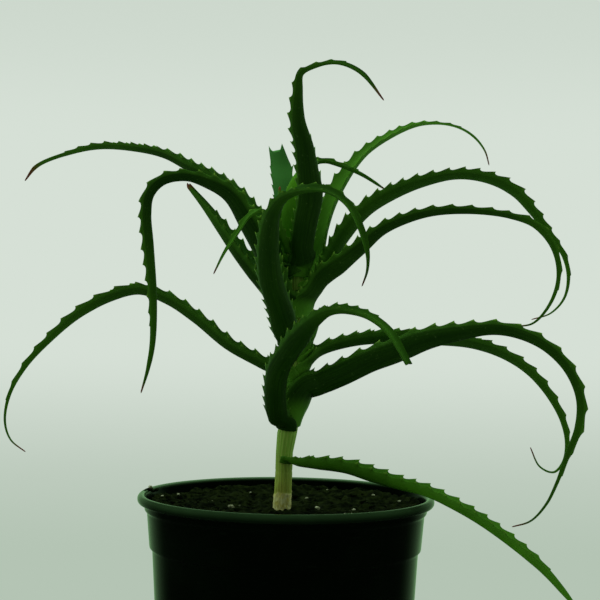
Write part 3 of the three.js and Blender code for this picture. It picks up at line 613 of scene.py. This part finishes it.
def drain_drills():
    """The drills for the drain holes: upright rods in one mesh, evenly spaced round the channel."""
    reach = (DISC_RADIUS + CHANNEL_RADIUS + CHANNEL_SLOPE) / 2
    turn = ((np.arange(DRAIN_COUNT) + 0.5) / DRAIN_COUNT * 2 * np.pi)[:, None, None]
    level = np.array([CHANNEL_RISE - 4 * WALL, CHANNEL_RISE + 4 * WALL])[None, :, None]
    circle = np.linspace(0, 2 * np.pi, DRILL_SIDES, endpoint=False)[None, None, :]
    x = reach * np.cos(turn) + DRAIN_RADIUS * np.cos(circle) + 0 * level
    y = reach * np.sin(turn) + DRAIN_RADIUS * np.sin(circle) + 0 * level
    points = np.stack([x, y, level + 0 * x], -1).reshape(-1, 3)
    faces = [[hole * 2 * DRILL_SIDES + index for index in face]
             for hole in range(DRAIN_COUNT) for face in tube_faces(2, DRILL_SIDES)]
    mesh = bpy.data.meshes.new("drills")
    mesh.from_pydata((points * MM).tolist(), [], faces)
    drills = bpy.data.objects.new("drills", mesh)
    bpy.context.scene.collection.objects.link(drills)
    return drills


def pot_piece():
    """The pot: one closed outline turned about its axis, with the drain holes cut through its base."""
    outside = [
        (0, 0), (DISC_RADIUS, 0), (DISC_RADIUS + CHANNEL_SLOPE, CHANNEL_RISE),
        (CHANNEL_RADIUS, CHANNEL_RISE), (CHANNEL_RADIUS + CHANNEL_SLOPE, 0),
        (BASE_RADIUS - 0.8, 0), (BASE_RADIUS, 1),
        (WAIST_RADIUS, WAIST_HEIGHT), (COLLAR_FOOT - COLLAR_STEP, COLLAR_HEIGHT),
        (COLLAR_FOOT, COLLAR_HEIGHT + 1), (COLLAR_TOP, 120), (NECK_RADIUS, NECK_FOOT),
        (NECK_RADIUS, NECK_TOP), (RIM_RADIUS - 1, NECK_TOP + 0.4), (RIM_RADIUS, RIM_LOW),
        (RIM_RADIUS, RIM_HIGH), (RIM_RADIUS - 1.2, POT_HEIGHT),
    ]
    inside = [
        (RIM_RADIUS - 3.4, POT_HEIGHT), (RIM_RADIUS - 5, 128.6), (COLLAR_TOP - WALL + 0.6, 123),
        (COLLAR_TOP - WALL, 119), (COLLAR_FOOT - WALL, COLLAR_HEIGHT + 2),
        (COLLAR_FOOT - COLLAR_STEP - WALL, COLLAR_HEIGHT), (WAIST_RADIUS - WALL, WAIST_HEIGHT),
        (BASE_RADIUS - WALL, CHANNEL_RISE + WALL), (DISC_RADIUS, CHANNEL_RISE + WALL),
        (DISC_RADIUS - CHANNEL_SLOPE, WALL), (0, WALL),
    ]
    outline = rounded(outside + inside, CORNER_EASE)
    outline[[0, -1], 0] = 0
    angle = np.linspace(0, 2 * np.pi, POT_SECTORS, endpoint=False)
    ring = outline[1:-1]
    body = np.stack([ring[:, :1] * np.cos(angle), ring[:, :1] * np.sin(angle),
                     ring[:, 1:] + 0 * angle], -1).reshape(-1, 3)
    points = np.vstack([body, [0, 0, outline[0, 1]], [0, 0, outline[-1, 1]]])

    # Triangles from the first ring to the middle of the underside and from the last to the floor's
    bottom, top = len(body), len(body) + 1
    last = len(body) - POT_SECTORS
    sector = np.arange(POT_SECTORS)
    after = (sector + 1) % POT_SECTORS
    fans = np.array([[bottom + 0 * sector, after, sector], [top + 0 * sector, last + sector, last + after]])
    faces = tube_faces(len(ring), POT_SECTORS, closed_ends=False)
    faces += fans.transpose(2, 0, 1).reshape(-1, 3).tolist()
    piece = mesh_object("pot_fine", points * MM, faces)

    drills = drain_drills()
    cut = piece.modifiers.new("drain_holes", "BOOLEAN")
    cut.operation = "DIFFERENCE"
    cut.solver = "EXACT"
    cut.object = drills
    bpy.context.view_layer.objects.active = piece
    bpy.ops.object.modifier_apply(modifier=cut.name)
    bpy.data.objects.remove(drills)
    piece.data.shade_smooth()
    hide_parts("pot")
    return piece


def soil_height(x, y):
    """The soil's height, as in the part's source: its level, a long swell, which is a sine across
    times a cosine along, short lumps, which are the same with waves that bend each other, and a
    bank that rises with the fourth power of the distance from the pot's axis."""
    swell = SWELL_HEIGHT * np.sin(x * 0.09 + 1.3) * np.cos(y * 0.08 - 0.4)
    lumps = LUMP_HEIGHT * np.sin(x * 0.41 + 2 * np.sin(y * 0.23)) * np.cos(y * 0.37 - x * 0.11)
    bank = BANK_HEIGHT * (np.hypot(x, y) / COLLAR_TOP) ** 4
    return SOIL_LEVEL + swell + lumps + bank


def crumb_relief(x, y):
    """Fine relief in three layers, each about half as wide and as high as the last: a layer is its
    height times 0.45 less the size of lattice noise, which folds the noise to round crumbs."""
    relief = np.zeros_like(x)
    for layer, (scale, height) in enumerate(CRUMB_LAYERS):
        noise = lattice_noise(x / scale + 31.7 * layer, y / scale + 11.3, SEED + 10 + layer)
        relief += height * (0.45 - np.abs(noise))
    return relief


def soil_piece():
    """The soil: rings from the rim to the stem's hole, raised by the soil's height and the crumbs,
    closed by a side that follows the pot's wall and a flat floor. The rings near the hole shift
    towards it, in step with how near they are."""
    slack = WALL + SHEATH_GAP + 0.1
    sides = np.array([
        (DISC_RADIUS - 1.8, WALL + SHEATH_GAP), (DISC_RADIUS - 0.3, CHANNEL_RISE + slack),
        (BASE_RADIUS - slack, CHANNEL_RISE + slack), (WAIST_RADIUS - slack, WAIST_HEIGHT),
        (COLLAR_FOOT - COLLAR_STEP - slack, COLLAR_HEIGHT), (COLLAR_FOOT - slack, COLLAR_HEIGHT + 3),
        (SOIL_RADIUS - 0.3, 119),
    ])
    top_radii = np.linspace(SOIL_RADIUS, HOLE_RADIUS, SOIL_RINGS)
    angle = np.linspace(0, 2 * np.pi, SOIL_SECTORS, endpoint=False)[None, :]
    radius = np.concatenate([sides[:, 0], top_radii, [HOLE_RADIUS, HOLE_RADIUS]])[:, None]
    x, y = radius * np.cos(angle), radius * np.sin(angle)
    x = x - HOLE_SHIFT * np.clip(1 - (radius - HOLE_RADIUS) / SHIFT_REACH, 0, 1)
    z = soil_height(x, y) + crumb_relief(x, y)
    z[:len(sides)] = sides[:, 1:]
    z[-2:] = np.array(HOLE_HEIGHTS)[:, None]
    points = np.stack([x, y, z], -1).reshape(-1, 3)
    piece = mesh_object("soil_fine", points * MM, tube_faces(len(radius), SOIL_SECTORS))
    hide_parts("soil")
    return piece


def grain_mesh(name, places, sizes, seed):
    """Small rounded lumps in one piece: each is an icosahedron split once, whose points are pushed in
    and out at random, flattened, tilted and turned at random, and set at its place."""
    rng = np.random.default_rng(seed)
    shape = bpy.data.meshes.new("grain")
    seed_mesh = bmesh.new()
    bmesh.ops.create_icosphere(seed_mesh, subdivisions=2, radius=1)
    seed_mesh.to_mesh(shape)
    seed_mesh.free()
    ball = np.empty(len(shape.vertices) * 3, np.float32)
    shape.vertices.foreach_get("co", ball)
    ball = ball.reshape(-1, 3).astype(float)
    ball_faces = np.empty(len(shape.loops), np.int32)
    shape.loops.foreach_get("vertex_index", ball_faces)
    ball_faces = ball_faces.reshape(-1, 3)
    bpy.data.meshes.remove(shape)
    points = []
    faces = []
    for number, (place, size) in enumerate(zip(places, sizes)):
        lump = ball * (1 + rng.uniform(-0.2, 0.2, (len(ball), 1)))
        lump = lump * np.array([1, rng.uniform(0.6, 1), GRAIN_FLATNESS * rng.uniform(0.7, 1)])
        turn = rng.uniform(0, 2 * np.pi)
        tilt = rng.uniform(-0.5, 0.5)
        cosine, sine = math.cos(turn), math.sin(turn)
        spin = np.array([[cosine, -sine, 0], [sine, cosine, 0], [0, 0, 1]])
        cosine, sine = math.cos(tilt), math.sin(tilt)
        lean = np.array([[1, 0, 0], [0, cosine, -sine], [0, sine, cosine]])
        points.append(lump @ lean.T @ spin.T * size + place)
        faces.append(ball_faces + number * len(ball))
    return mesh_object(name, np.vstack(points) * MM, np.vstack(faces).tolist())


def scattered(count, seed):
    """Random places on the soil, evenly thick over it: the distance from the axis is the root of an
    even draw between the squares of the limits. The generator comes back for further draws."""
    rng = np.random.default_rng(seed)
    reach = np.sqrt(rng.uniform(STREWN_FROM ** 2, (SOIL_RADIUS - STREWN_EDGE) ** 2, count))
    turn = rng.uniform(0, 2 * np.pi, count)
    x, y = reach * np.cos(turn), reach * np.sin(turn)
    return np.stack([x, y, soil_height(x, y)], -1), rng


class Value:
    """A socket that takes part in sums: each operator adds the Math node for it."""

    def __init__(self, tree, socket):
        self.tree = tree
        self.socket = socket

    def maths(self, operation, *others):
        """A Math node that takes this value first and the others after it."""
        node = self.tree.nodes.new("ShaderNodeMath")
        node.operation = operation
        for index, item in enumerate((self, *others)):
            put(self.tree, node.inputs[index], item)
        return Value(self.tree, node.outputs[0])

    def __add__(self, other):
        return self.maths("ADD", other)

    __radd__ = __add__

    def __mul__(self, other):
        return self.maths("MULTIPLY", other)

    __rmul__ = __mul__

    def __sub__(self, other):
        return self.maths("SUBTRACT", other)

    def __rsub__(self, other):
        return self * -1 + other

    def __abs__(self):
        return self.maths("ABSOLUTE")


def put(tree, socket, item):
    """Links a value to a socket, or sets the socket to a plain number or colour."""
    if isinstance(item, Value):
        tree.links.new(item.socket, socket)
    else:
        socket.default_value = item


class Nodes:
    """A node tree that is written as expressions."""

    def __init__(self, tree):
        self.tree = tree

    def node(self, kind, settings=None, inputs=None, output=0):
        """Any node: its settings first, then the values or links of its sockets. What it gives is one
        of its outputs, or nothing where it has none."""
        node = self.tree.nodes.new(kind)
        for key, value in (settings or {}).items():
            setattr(node, key, value)
        for key, item in (inputs or {}).items():
            put(self.tree, node.inputs[key], item)
        return Value(self.tree, node.outputs[output]) if node.outputs else None

    def place(self):
        """Where a point of the piece is, in metres."""
        return self.node("ShaderNodeTexCoord", output="Object")

    def attribute(self, name):
        """A number that was stored for every point of the piece."""
        return self.node("ShaderNodeAttribute", {"attribute_name": name}, output="Fac")

    def part(self, vector, axis):
        """One of a vector's three numbers: 0, 1 or 2 for x, y or z."""
        return self.node("ShaderNodeSeparateXYZ", {}, {0: vector}, axis)

    def noise(self, vector, scale, detail=3, roughness=0.55):
        """Cloudy noise from 0 to 1, with the given number of waves to a metre."""
        return self.node("ShaderNodeTexNoise", {}, {"Vector": vector, "Scale": scale, "Detail": detail,
                                                    "Roughness": roughness})

    def stretched(self, vector, factors):
        """A place whose three numbers are multiplied, to draw a pattern out one way."""
        return self.node("ShaderNodeVectorMath", {"operation": "MULTIPLY"}, {0: vector, 1: factors})

    def combine(self, x, y, z):
        """A place from three numbers."""
        return self.node("ShaderNodeCombineXYZ", {}, {0: x, 1: y, 2: z})

    def mix(self, factor, first, second):
        """A colour between two others."""
        return self.node("ShaderNodeMix", {"data_type": "RGBA", "clamp_factor": True},
                         {0: factor, 6: first, 7: second}, 2)

    def ramp(self, value, low, high):
        """0 below low, 1 above high, smooth between."""
        return self.node("ShaderNodeMapRange", {"interpolation_type": "SMOOTHSTEP"},
                         {"Value": value, "From Min": low, "From Max": high})

    def bump(self, height, strength, distance):
        """A fine relief, as deep as the distance in metres."""
        return self.node("ShaderNodeBump", {},
                         {"Strength": strength, "Distance": distance, "Height": height})


class Finish(Nodes):
    """A material whose Principled shader is fed by expressions."""

    def __init__(self, name):
        self.material = bpy.data.materials.new(name)
        self.material.use_nodes = True
        super().__init__(self.material.node_tree)
        self.shader = self.tree.nodes["Principled BSDF"]

    def set(self, **inputs):
        """Feeds the shader's inputs, named with underscores for spaces, and gives the material."""
        for key, item in inputs.items():
            put(self.tree, self.shader.inputs[key.replace("_", " ")], item)
        return self.material


def colour(red, green, blue):
    """A colour given as display values from 0 to 255, turned to the linear ones that shaders use."""
    linear = [(value / 255 / 12.92) if value <= 10 else ((value / 255 + 0.055) / 1.055) ** 2.4
              for value in (red, green, blue)]
    return (*linear, 1)


# Leaf skin: belly and face of the darkest and the freshest leaves, the belly partly darkened by painted
# shade and the face partly lightened by painted light, and what is laid over them
BELLY_DARK = colour(8, 36, 3)
BELLY_FRESH = colour(96, 168, 36)
FACE_DARK = colour(20, 64, 12)
FACE_FRESH = colour(96, 164, 44)
STREAK_GREEN = colour(72, 124, 28)
MOTTLE_GREEN = colour(16, 56, 8)
BLOOM_GREEN = colour(92, 168, 96)
EDGE_GREEN = colour(86, 146, 44)
CLASP_GREEN = colour(112, 184, 56)
FLECK_GREEN = colour(140, 176, 110)
TOOTH_GREEN = colour(140, 188, 72)
DRY_BROWN = colour(132, 70, 50)

# Stem, from its foot up, with its ribs, grain, mottle and cork
STEM_LOW = colour(206, 218, 98)
STEM_HIGH = colour(162, 212, 88)
RIB_PALE = colour(214, 232, 134)
GRAIN_OLIVE = colour(128, 158, 56)
MOTTLE_TAN = colour(150, 136, 60)
CORK_TAN = colour(226, 214, 118)
CORK_PALE = colour(255, 250, 190)

# Soil and perlite
SOIL_DARK = colour(6, 13, 3)
SOIL_CRUMB = colour(34, 44, 16)
SOIL_FIBRE = colour(78, 82, 40)
PERLITE_SOILED = colour(120, 124, 96)
PERLITE_CLEAN = colour(214, 216, 190)

# Pot plastic, with the painted light on its rim and the painted highlight along its inner lip
PLASTIC_DARK = colour(4, 10, 4)
PLASTIC_DUSTY = colour(9, 20, 9)
PLASTIC_SCUFF = colour(50, 66, 50)
RIM_LIT_GREEN = colour(50, 74, 47)
LIP_HIGHLIGHT = colour(112, 146, 112)

# The studio: its floor and what is seen of its wall, from low to high
FLOOR_PALE = colour(196, 206, 196)
WALL_LOW = colour(180, 196, 180)
WALL_MIDDLE = colour(192, 205, 192)
WALL_BRIGHT = colour(214, 224, 214)
WALL_TOP = colour(205, 216, 205)

# The studio's light, in linear values: what falls on the plant from the front and from behind, and
# what its gloss picks up from each
FRONT_GLOW = (0.14, 0.17, 0.12, 1)
BACK_GLOW = (0.55, 0.72, 0.54, 1)
SHEEN_FRONT = (0.02, 0.03, 0.02, 1)
SHEEN_BACK = (0.3, 0.6, 0.27, 1)

# The floor: its radius and the drop that keeps it clear of the pot's base, in metres, and its sides
FLOOR_SIDES = 96
FLOOR_RADIUS = 0.32
FLOOR_DROP = 0.0004

# Soft disc lamps: name, place, width and power. They share a tint and face the middle of the plant
LAMPS = [("overhead", (0.1, 0.25, 1.25), 1.0, 6), ("left_window", (-1.3, -0.1, 0.7), 0.9, 1.5)]
LAMP_TINT = (0.85, 1, 0.8)
LAMP_TARGET = (0, 0, 0.25)

# Camera: its place, its lean in degrees, and its lens and sensor in millimetres
CAMERA_PLACE = (0.0062, -0.857, 0.241)
CAMERA_LEAN = -0.9
CAMERA_LENS = 90
CAMERA_SENSOR = 36


def leaf_finish():
    """Waxy leaf skin: a dark belly and a lighter face, partly the leaf's own two sides and partly painted
    shade under it and painted light on top; lighter edges, pale teeth, faint lengthwise streaks,
    small pale flecks, and brown dry tips."""
    f = Finish("leaf_skin")
    place = f.place()
    across, travel, belly = (f.attribute(name) for name in ("across", "travel", "belly"))
    tooth, dry, tone, clasp = (f.attribute(name) for name in ("tooth", "dry", "tone", "clasp"))
    streak_place = f.combine(across * 9, travel * 2.2, belly * 3)
    streaks = f.noise(streak_place, 1.6, 4)
    mottle = f.noise(place, 55, 4)
    flecks = f.ramp(f.noise(place, 620, 2), 0.66, 0.74)
    dark = f.mix(tone, BELLY_DARK, BELLY_FRESH)
    face = f.mix(tone, FACE_DARK, FACE_FRESH)
    # Dark belly under, lighter face on top: partly the leaf's own two sides, partly painted shade and
    # painted light
    body = f.mix(1 - f.ramp(belly, -0.4, 0.1), dark, face)
    body = f.mix(f.ramp(streaks, 0.35, 0.75) * 0.22, body, STREAK_GREEN)
    body = f.mix(f.ramp(mottle, 0.3, 0.7) * 0.3, body, MOTTLE_GREEN)
    body = f.mix(f.attribute("bloom"), body, BLOOM_GREEN)
    body = f.mix(f.ramp(abs(across), 0.93, 1.0) * 0.4, body, EDGE_GREEN)
    body = f.mix(f.ramp(clasp, 0.4, 1) * 0.6, body, CLASP_GREEN)
    body = f.mix(flecks * 0.15, body, FLECK_GREEN)
    body = f.mix(f.ramp(tooth, 0.35, 0.95) * 0.75, body, TOOTH_GREEN)
    body = f.mix(dry, body, DRY_BROWN)
    rough = f.noise(place, 210, 3) * 0.16 + 0.42
    height = streaks * 0.6 + f.noise(place, 340, 3) * 0.4
    return f.set(Base_Color=body, Roughness=rough, Normal=f.bump(height, 0.25, 0.0004),
                 Specular_IOR_Level=0.08)


def stem_finish():
    """Olive stem with fine pale lengthwise lines, tan and corky at its foot."""
    f = Finish("stem_bark")
    place = f.place()
    bark, ribs = f.attribute("bark"), f.attribute("ribs")
    grain = f.noise(f.stretched(place, (900, 900, 60)), 1, 4)
    mottle = f.noise(place, 120, 4)
    flakes = f.noise(f.stretched(place, (500, 500, 260)), 1, 5)
    green = f.mix(f.ramp(f.part(place, 2), 0.128, 0.158), STEM_LOW, STEM_HIGH)
    green = f.mix(f.ramp(ribs, -0.4, 1) * 0.35, green, RIB_PALE)
    green = f.mix(f.ramp(grain, 0.4, 0.7) * 0.45, green, GRAIN_OLIVE)
    green = f.mix(f.ramp(mottle, 0.5, 0.75) * 0.45, green, MOTTLE_TAN)
    cork = f.mix(f.ramp(flakes, 0.35, 0.65), CORK_TAN, CORK_PALE)
    body = f.mix(bark, green, cork)
    bump = f.bump(grain * 0.7 + f.noise(place, 700, 4) * 0.5, 0.5, 0.0004)
    return f.set(Base_Color=body, Roughness=bark * 0.3 + 0.5, Normal=bump, Specular_IOR_Level=0.15)


def soil_finish():
    """Moist dark soil: brown-black with lighter crumbs and a fine broken surface."""
    f = Finish("moist_soil")
    place = f.place()
    coarse = f.noise(place, 160, 6, 0.65)
    fine = f.noise(place, 900, 5, 0.7)
    body = f.mix(f.ramp(coarse, 0.35, 0.7), SOIL_DARK, SOIL_CRUMB)
    body = f.mix(f.ramp(fine, 0.6, 0.76) * 0.45, body, SOIL_FIBRE)
    bump = f.bump(coarse * 0.6 + fine * 0.6, 0.8, 0.0008)
    return f.set(Base_Color=body, Roughness=0.92, Normal=bump, Specular_IOR_Level=0.05)


def perlite_finish():
    """Pale, slightly soiled, porous perlite."""
    f = Finish("perlite")
    place = f.place()
    body = f.mix(f.ramp(f.noise(place, 500, 4), 0.35, 0.7), PERLITE_SOILED, PERLITE_CLEAN)
    bump = f.bump(f.noise(place, 1400, 4), 0.6, 0.0004)
    return f.set(Base_Color=body, Roughness=0.9, Normal=bump)


def pot_finish():
    """Moulded dark green-black plastic: satin, with a faint grain, fine scuffs and a dusty film; its rim
    is painted paler, as painted light from above, and its inner lip carries a thin painted highlight.
    The rim and the lip are where both the height and the distance from the pot's axis say so."""
    f = Finish("pot_plastic_skin")
    place = f.place()
    dust = f.ramp(f.noise(place, 26, 5, 0.6), 0.4, 0.75)
    scuff = f.ramp(f.noise(f.stretched(place, (90, 90, 700)), 1, 4), 0.62, 0.72)
    level_place = f.stretched(place, (1, 1, 0))
    reach = f.node("ShaderNodeVectorMath", {"operation": "LENGTH"}, {0: level_place}, "Value")
    height = f.part(place, 2)
    # The rim bead is painted paler as painted light from above, strongest at its top and fading down its
    # face, dappled by the dust
    rim = f.ramp(height, 0.1246, 0.1256) * f.ramp(reach, 0.0793, 0.0803)
    upper = f.ramp(height, 0.1258, 0.129) * 0.85 + 0.15
    # A thin painted highlight along the rim's inner lip
    lip = f.ramp(height, 0.1291, 0.1298) * (1 - f.ramp(reach, 0.0812, 0.0822))
    body = f.mix(dust * 0.5, PLASTIC_DARK, PLASTIC_DUSTY)
    body = f.mix(scuff * 0.06, body, PLASTIC_SCUFF)
    # Lay on the painted light of the rim, then the painted highlight of the lip
    body = f.mix(rim * (dust * 0.3 + 0.7) * upper, body, RIM_LIT_GREEN)
    body = f.mix(lip * 0.6, body, LIP_HIGHLIGHT)
    rough = dust * 0.06 + f.noise(place, 300, 3) * 0.06 + 0.1
    bump = f.bump(f.noise(place, 1500, 3), 0.12, 0.0002)
    return f.set(Base_Color=body, Roughness=rough, Normal=bump, Specular_IOR_Level=0.04)


def dress(piece, material):
    """Gives a piece its one material."""
    piece.data.materials.clear()
    piece.data.materials.append(material)


def build_plant():
    """The leaves, in the same skin, and the stem."""
    skin = leaf_finish()
    for number, leaf in enumerate(LEAVES):
        dress(leaf_piece(leaf, number), skin)
    dress(stem_piece(), stem_finish())


def build_pot():
    """The pot, the soil, the crumbs with the clods on the rim, and the perlite with the chip there.
    Strewn grains are mostly small: their sizes rise with a power of an even draw."""
    dress(pot_piece(), pot_finish())
    soil = soil_finish()
    dress(soil_piece(), soil)
    places, rng = scattered(CRUMB_COUNT, SEED + 20)
    sizes = CRUMB_SIZE + CRUMB_SPREAD * rng.uniform(0, 1, CRUMB_COUNT) ** 3
    places = np.vstack([places, [place for place, _ in RIM_CLODS]])
    sizes = np.concatenate([sizes, [size for _, size in RIM_CLODS]])
    dress(grain_mesh("soil_crumbs", places, sizes, SEED + 21), soil)
    places, rng = scattered(SMALL_PERLITE_COUNT, SEED + 22)
    sizes = SMALL_PERLITE_SIZE + SMALL_PERLITE_SPREAD * rng.uniform(0, 1, SMALL_PERLITE_COUNT) ** 2
    larger = np.array([(*place, soil_height(*place) + 0.5) for place, _ in PERLITE])
    places = np.vstack([larger, RIM_CHIP[0], places])
    sizes = np.concatenate([[size for _, size in PERLITE], [RIM_CHIP[1]], sizes])
    dress(grain_mesh("perlite_grains", places, sizes, SEED + 23), perlite_finish())


def build_floor():
    """A plain pale floor disc, just under the pot, that doesn't show in the pot's gloss."""
    angle = np.linspace(0, 2 * np.pi, FLOOR_SIDES, endpoint=False)
    edge = np.stack([FLOOR_RADIUS * np.cos(angle), FLOOR_RADIUS * np.sin(angle), 0 * angle - FLOOR_DROP], 1)
    mesh = bpy.data.meshes.new("floor")
    mesh.from_pydata(edge.tolist(), [], [list(range(FLOOR_SIDES))])
    floor = bpy.data.objects.new("floor", mesh)
    bpy.context.scene.collection.objects.link(floor)
    floor.visible_glossy = False
    f = Finish("pale_floor")
    dress(floor, f.set(Base_Color=FLOOR_PALE, Roughness=0.8))


def build_backdrop():
    """What the camera sees behind the plant is a pale wall, a little darker low down and at the top.
    What lights the plant is bright behind it and dim in front. What its gloss picks up is dark,
    apart from a level band behind it."""
    world = bpy.data.worlds.new("studio")
    bpy.context.scene.world = world
    world.use_nodes = True
    world.node_tree.nodes.clear()
    w = Nodes(world.node_tree)
    direction = w.node("ShaderNodeTexCoord", output="Generated")
    depth, height = w.part(direction, 1), w.part(direction, 2)
    wall = w.mix(w.ramp(height, -0.17, -0.09), WALL_LOW, WALL_MIDDLE)
    wall = w.mix(w.ramp(height, -0.12, -0.03), wall, WALL_BRIGHT)
    wall = w.mix(w.ramp(height, 0.1, 0.2), wall, WALL_TOP)
    light = w.mix(w.ramp(depth, -0.9, 0.6), FRONT_GLOW, BACK_GLOW)
    level = 1 - w.ramp(abs(height), 0.2, 0.5)
    sheen = w.mix(w.ramp(depth, 0.45, 1) * level, SHEEN_FRONT, SHEEN_BACK)
    light = w.mix(w.node("ShaderNodeLightPath", output="Is Glossy Ray"), light, sheen)
    seen = w.node("ShaderNodeLightPath", output="Is Camera Ray")
    background = w.node("ShaderNodeBackground", {}, {"Color": w.mix(seen, light, wall)})
    w.node("ShaderNodeOutputWorld", {}, {"Surface": background})


def soft_light(name, place, size, power):
    """A disc lamp that faces the middle of the plant and doesn't show in its gloss."""
    light = bpy.data.lights.new(name, "AREA")
    light.shape = "DISK"
    light.size = size
    light.energy = power
    light.color = LAMP_TINT
    lamp = bpy.data.objects.new(name, light)
    bpy.context.scene.collection.objects.link(lamp)
    lamp.location = place
    lamp.visible_glossy = False
    lamp.rotation_euler = (Vector(LAMP_TARGET) - Vector(place)).to_track_quat("-Z", "Y").to_euler()


def build_view():
    """A level camera at the photograph's place, turned by the little that the photograph leans."""
    lens = bpy.data.cameras.new("camera")
    lens.sensor_width = CAMERA_SENSOR
    lens.lens = CAMERA_LENS
    camera = bpy.data.objects.new("camera", lens)
    bpy.context.scene.collection.objects.link(camera)
    camera.location = CAMERA_PLACE
    camera.rotation_euler = (math.radians(90), math.radians(CAMERA_LEAN), 0)
    bpy.context.scene.camera = camera
    bpy.context.scene.view_settings.view_transform = "Standard"
    bpy.context.scene.view_settings.look = "None"


build_plant()
build_pot()
build_floor()
build_backdrop()
for lamp in LAMPS:
    soft_light(*lamp)
build_view()
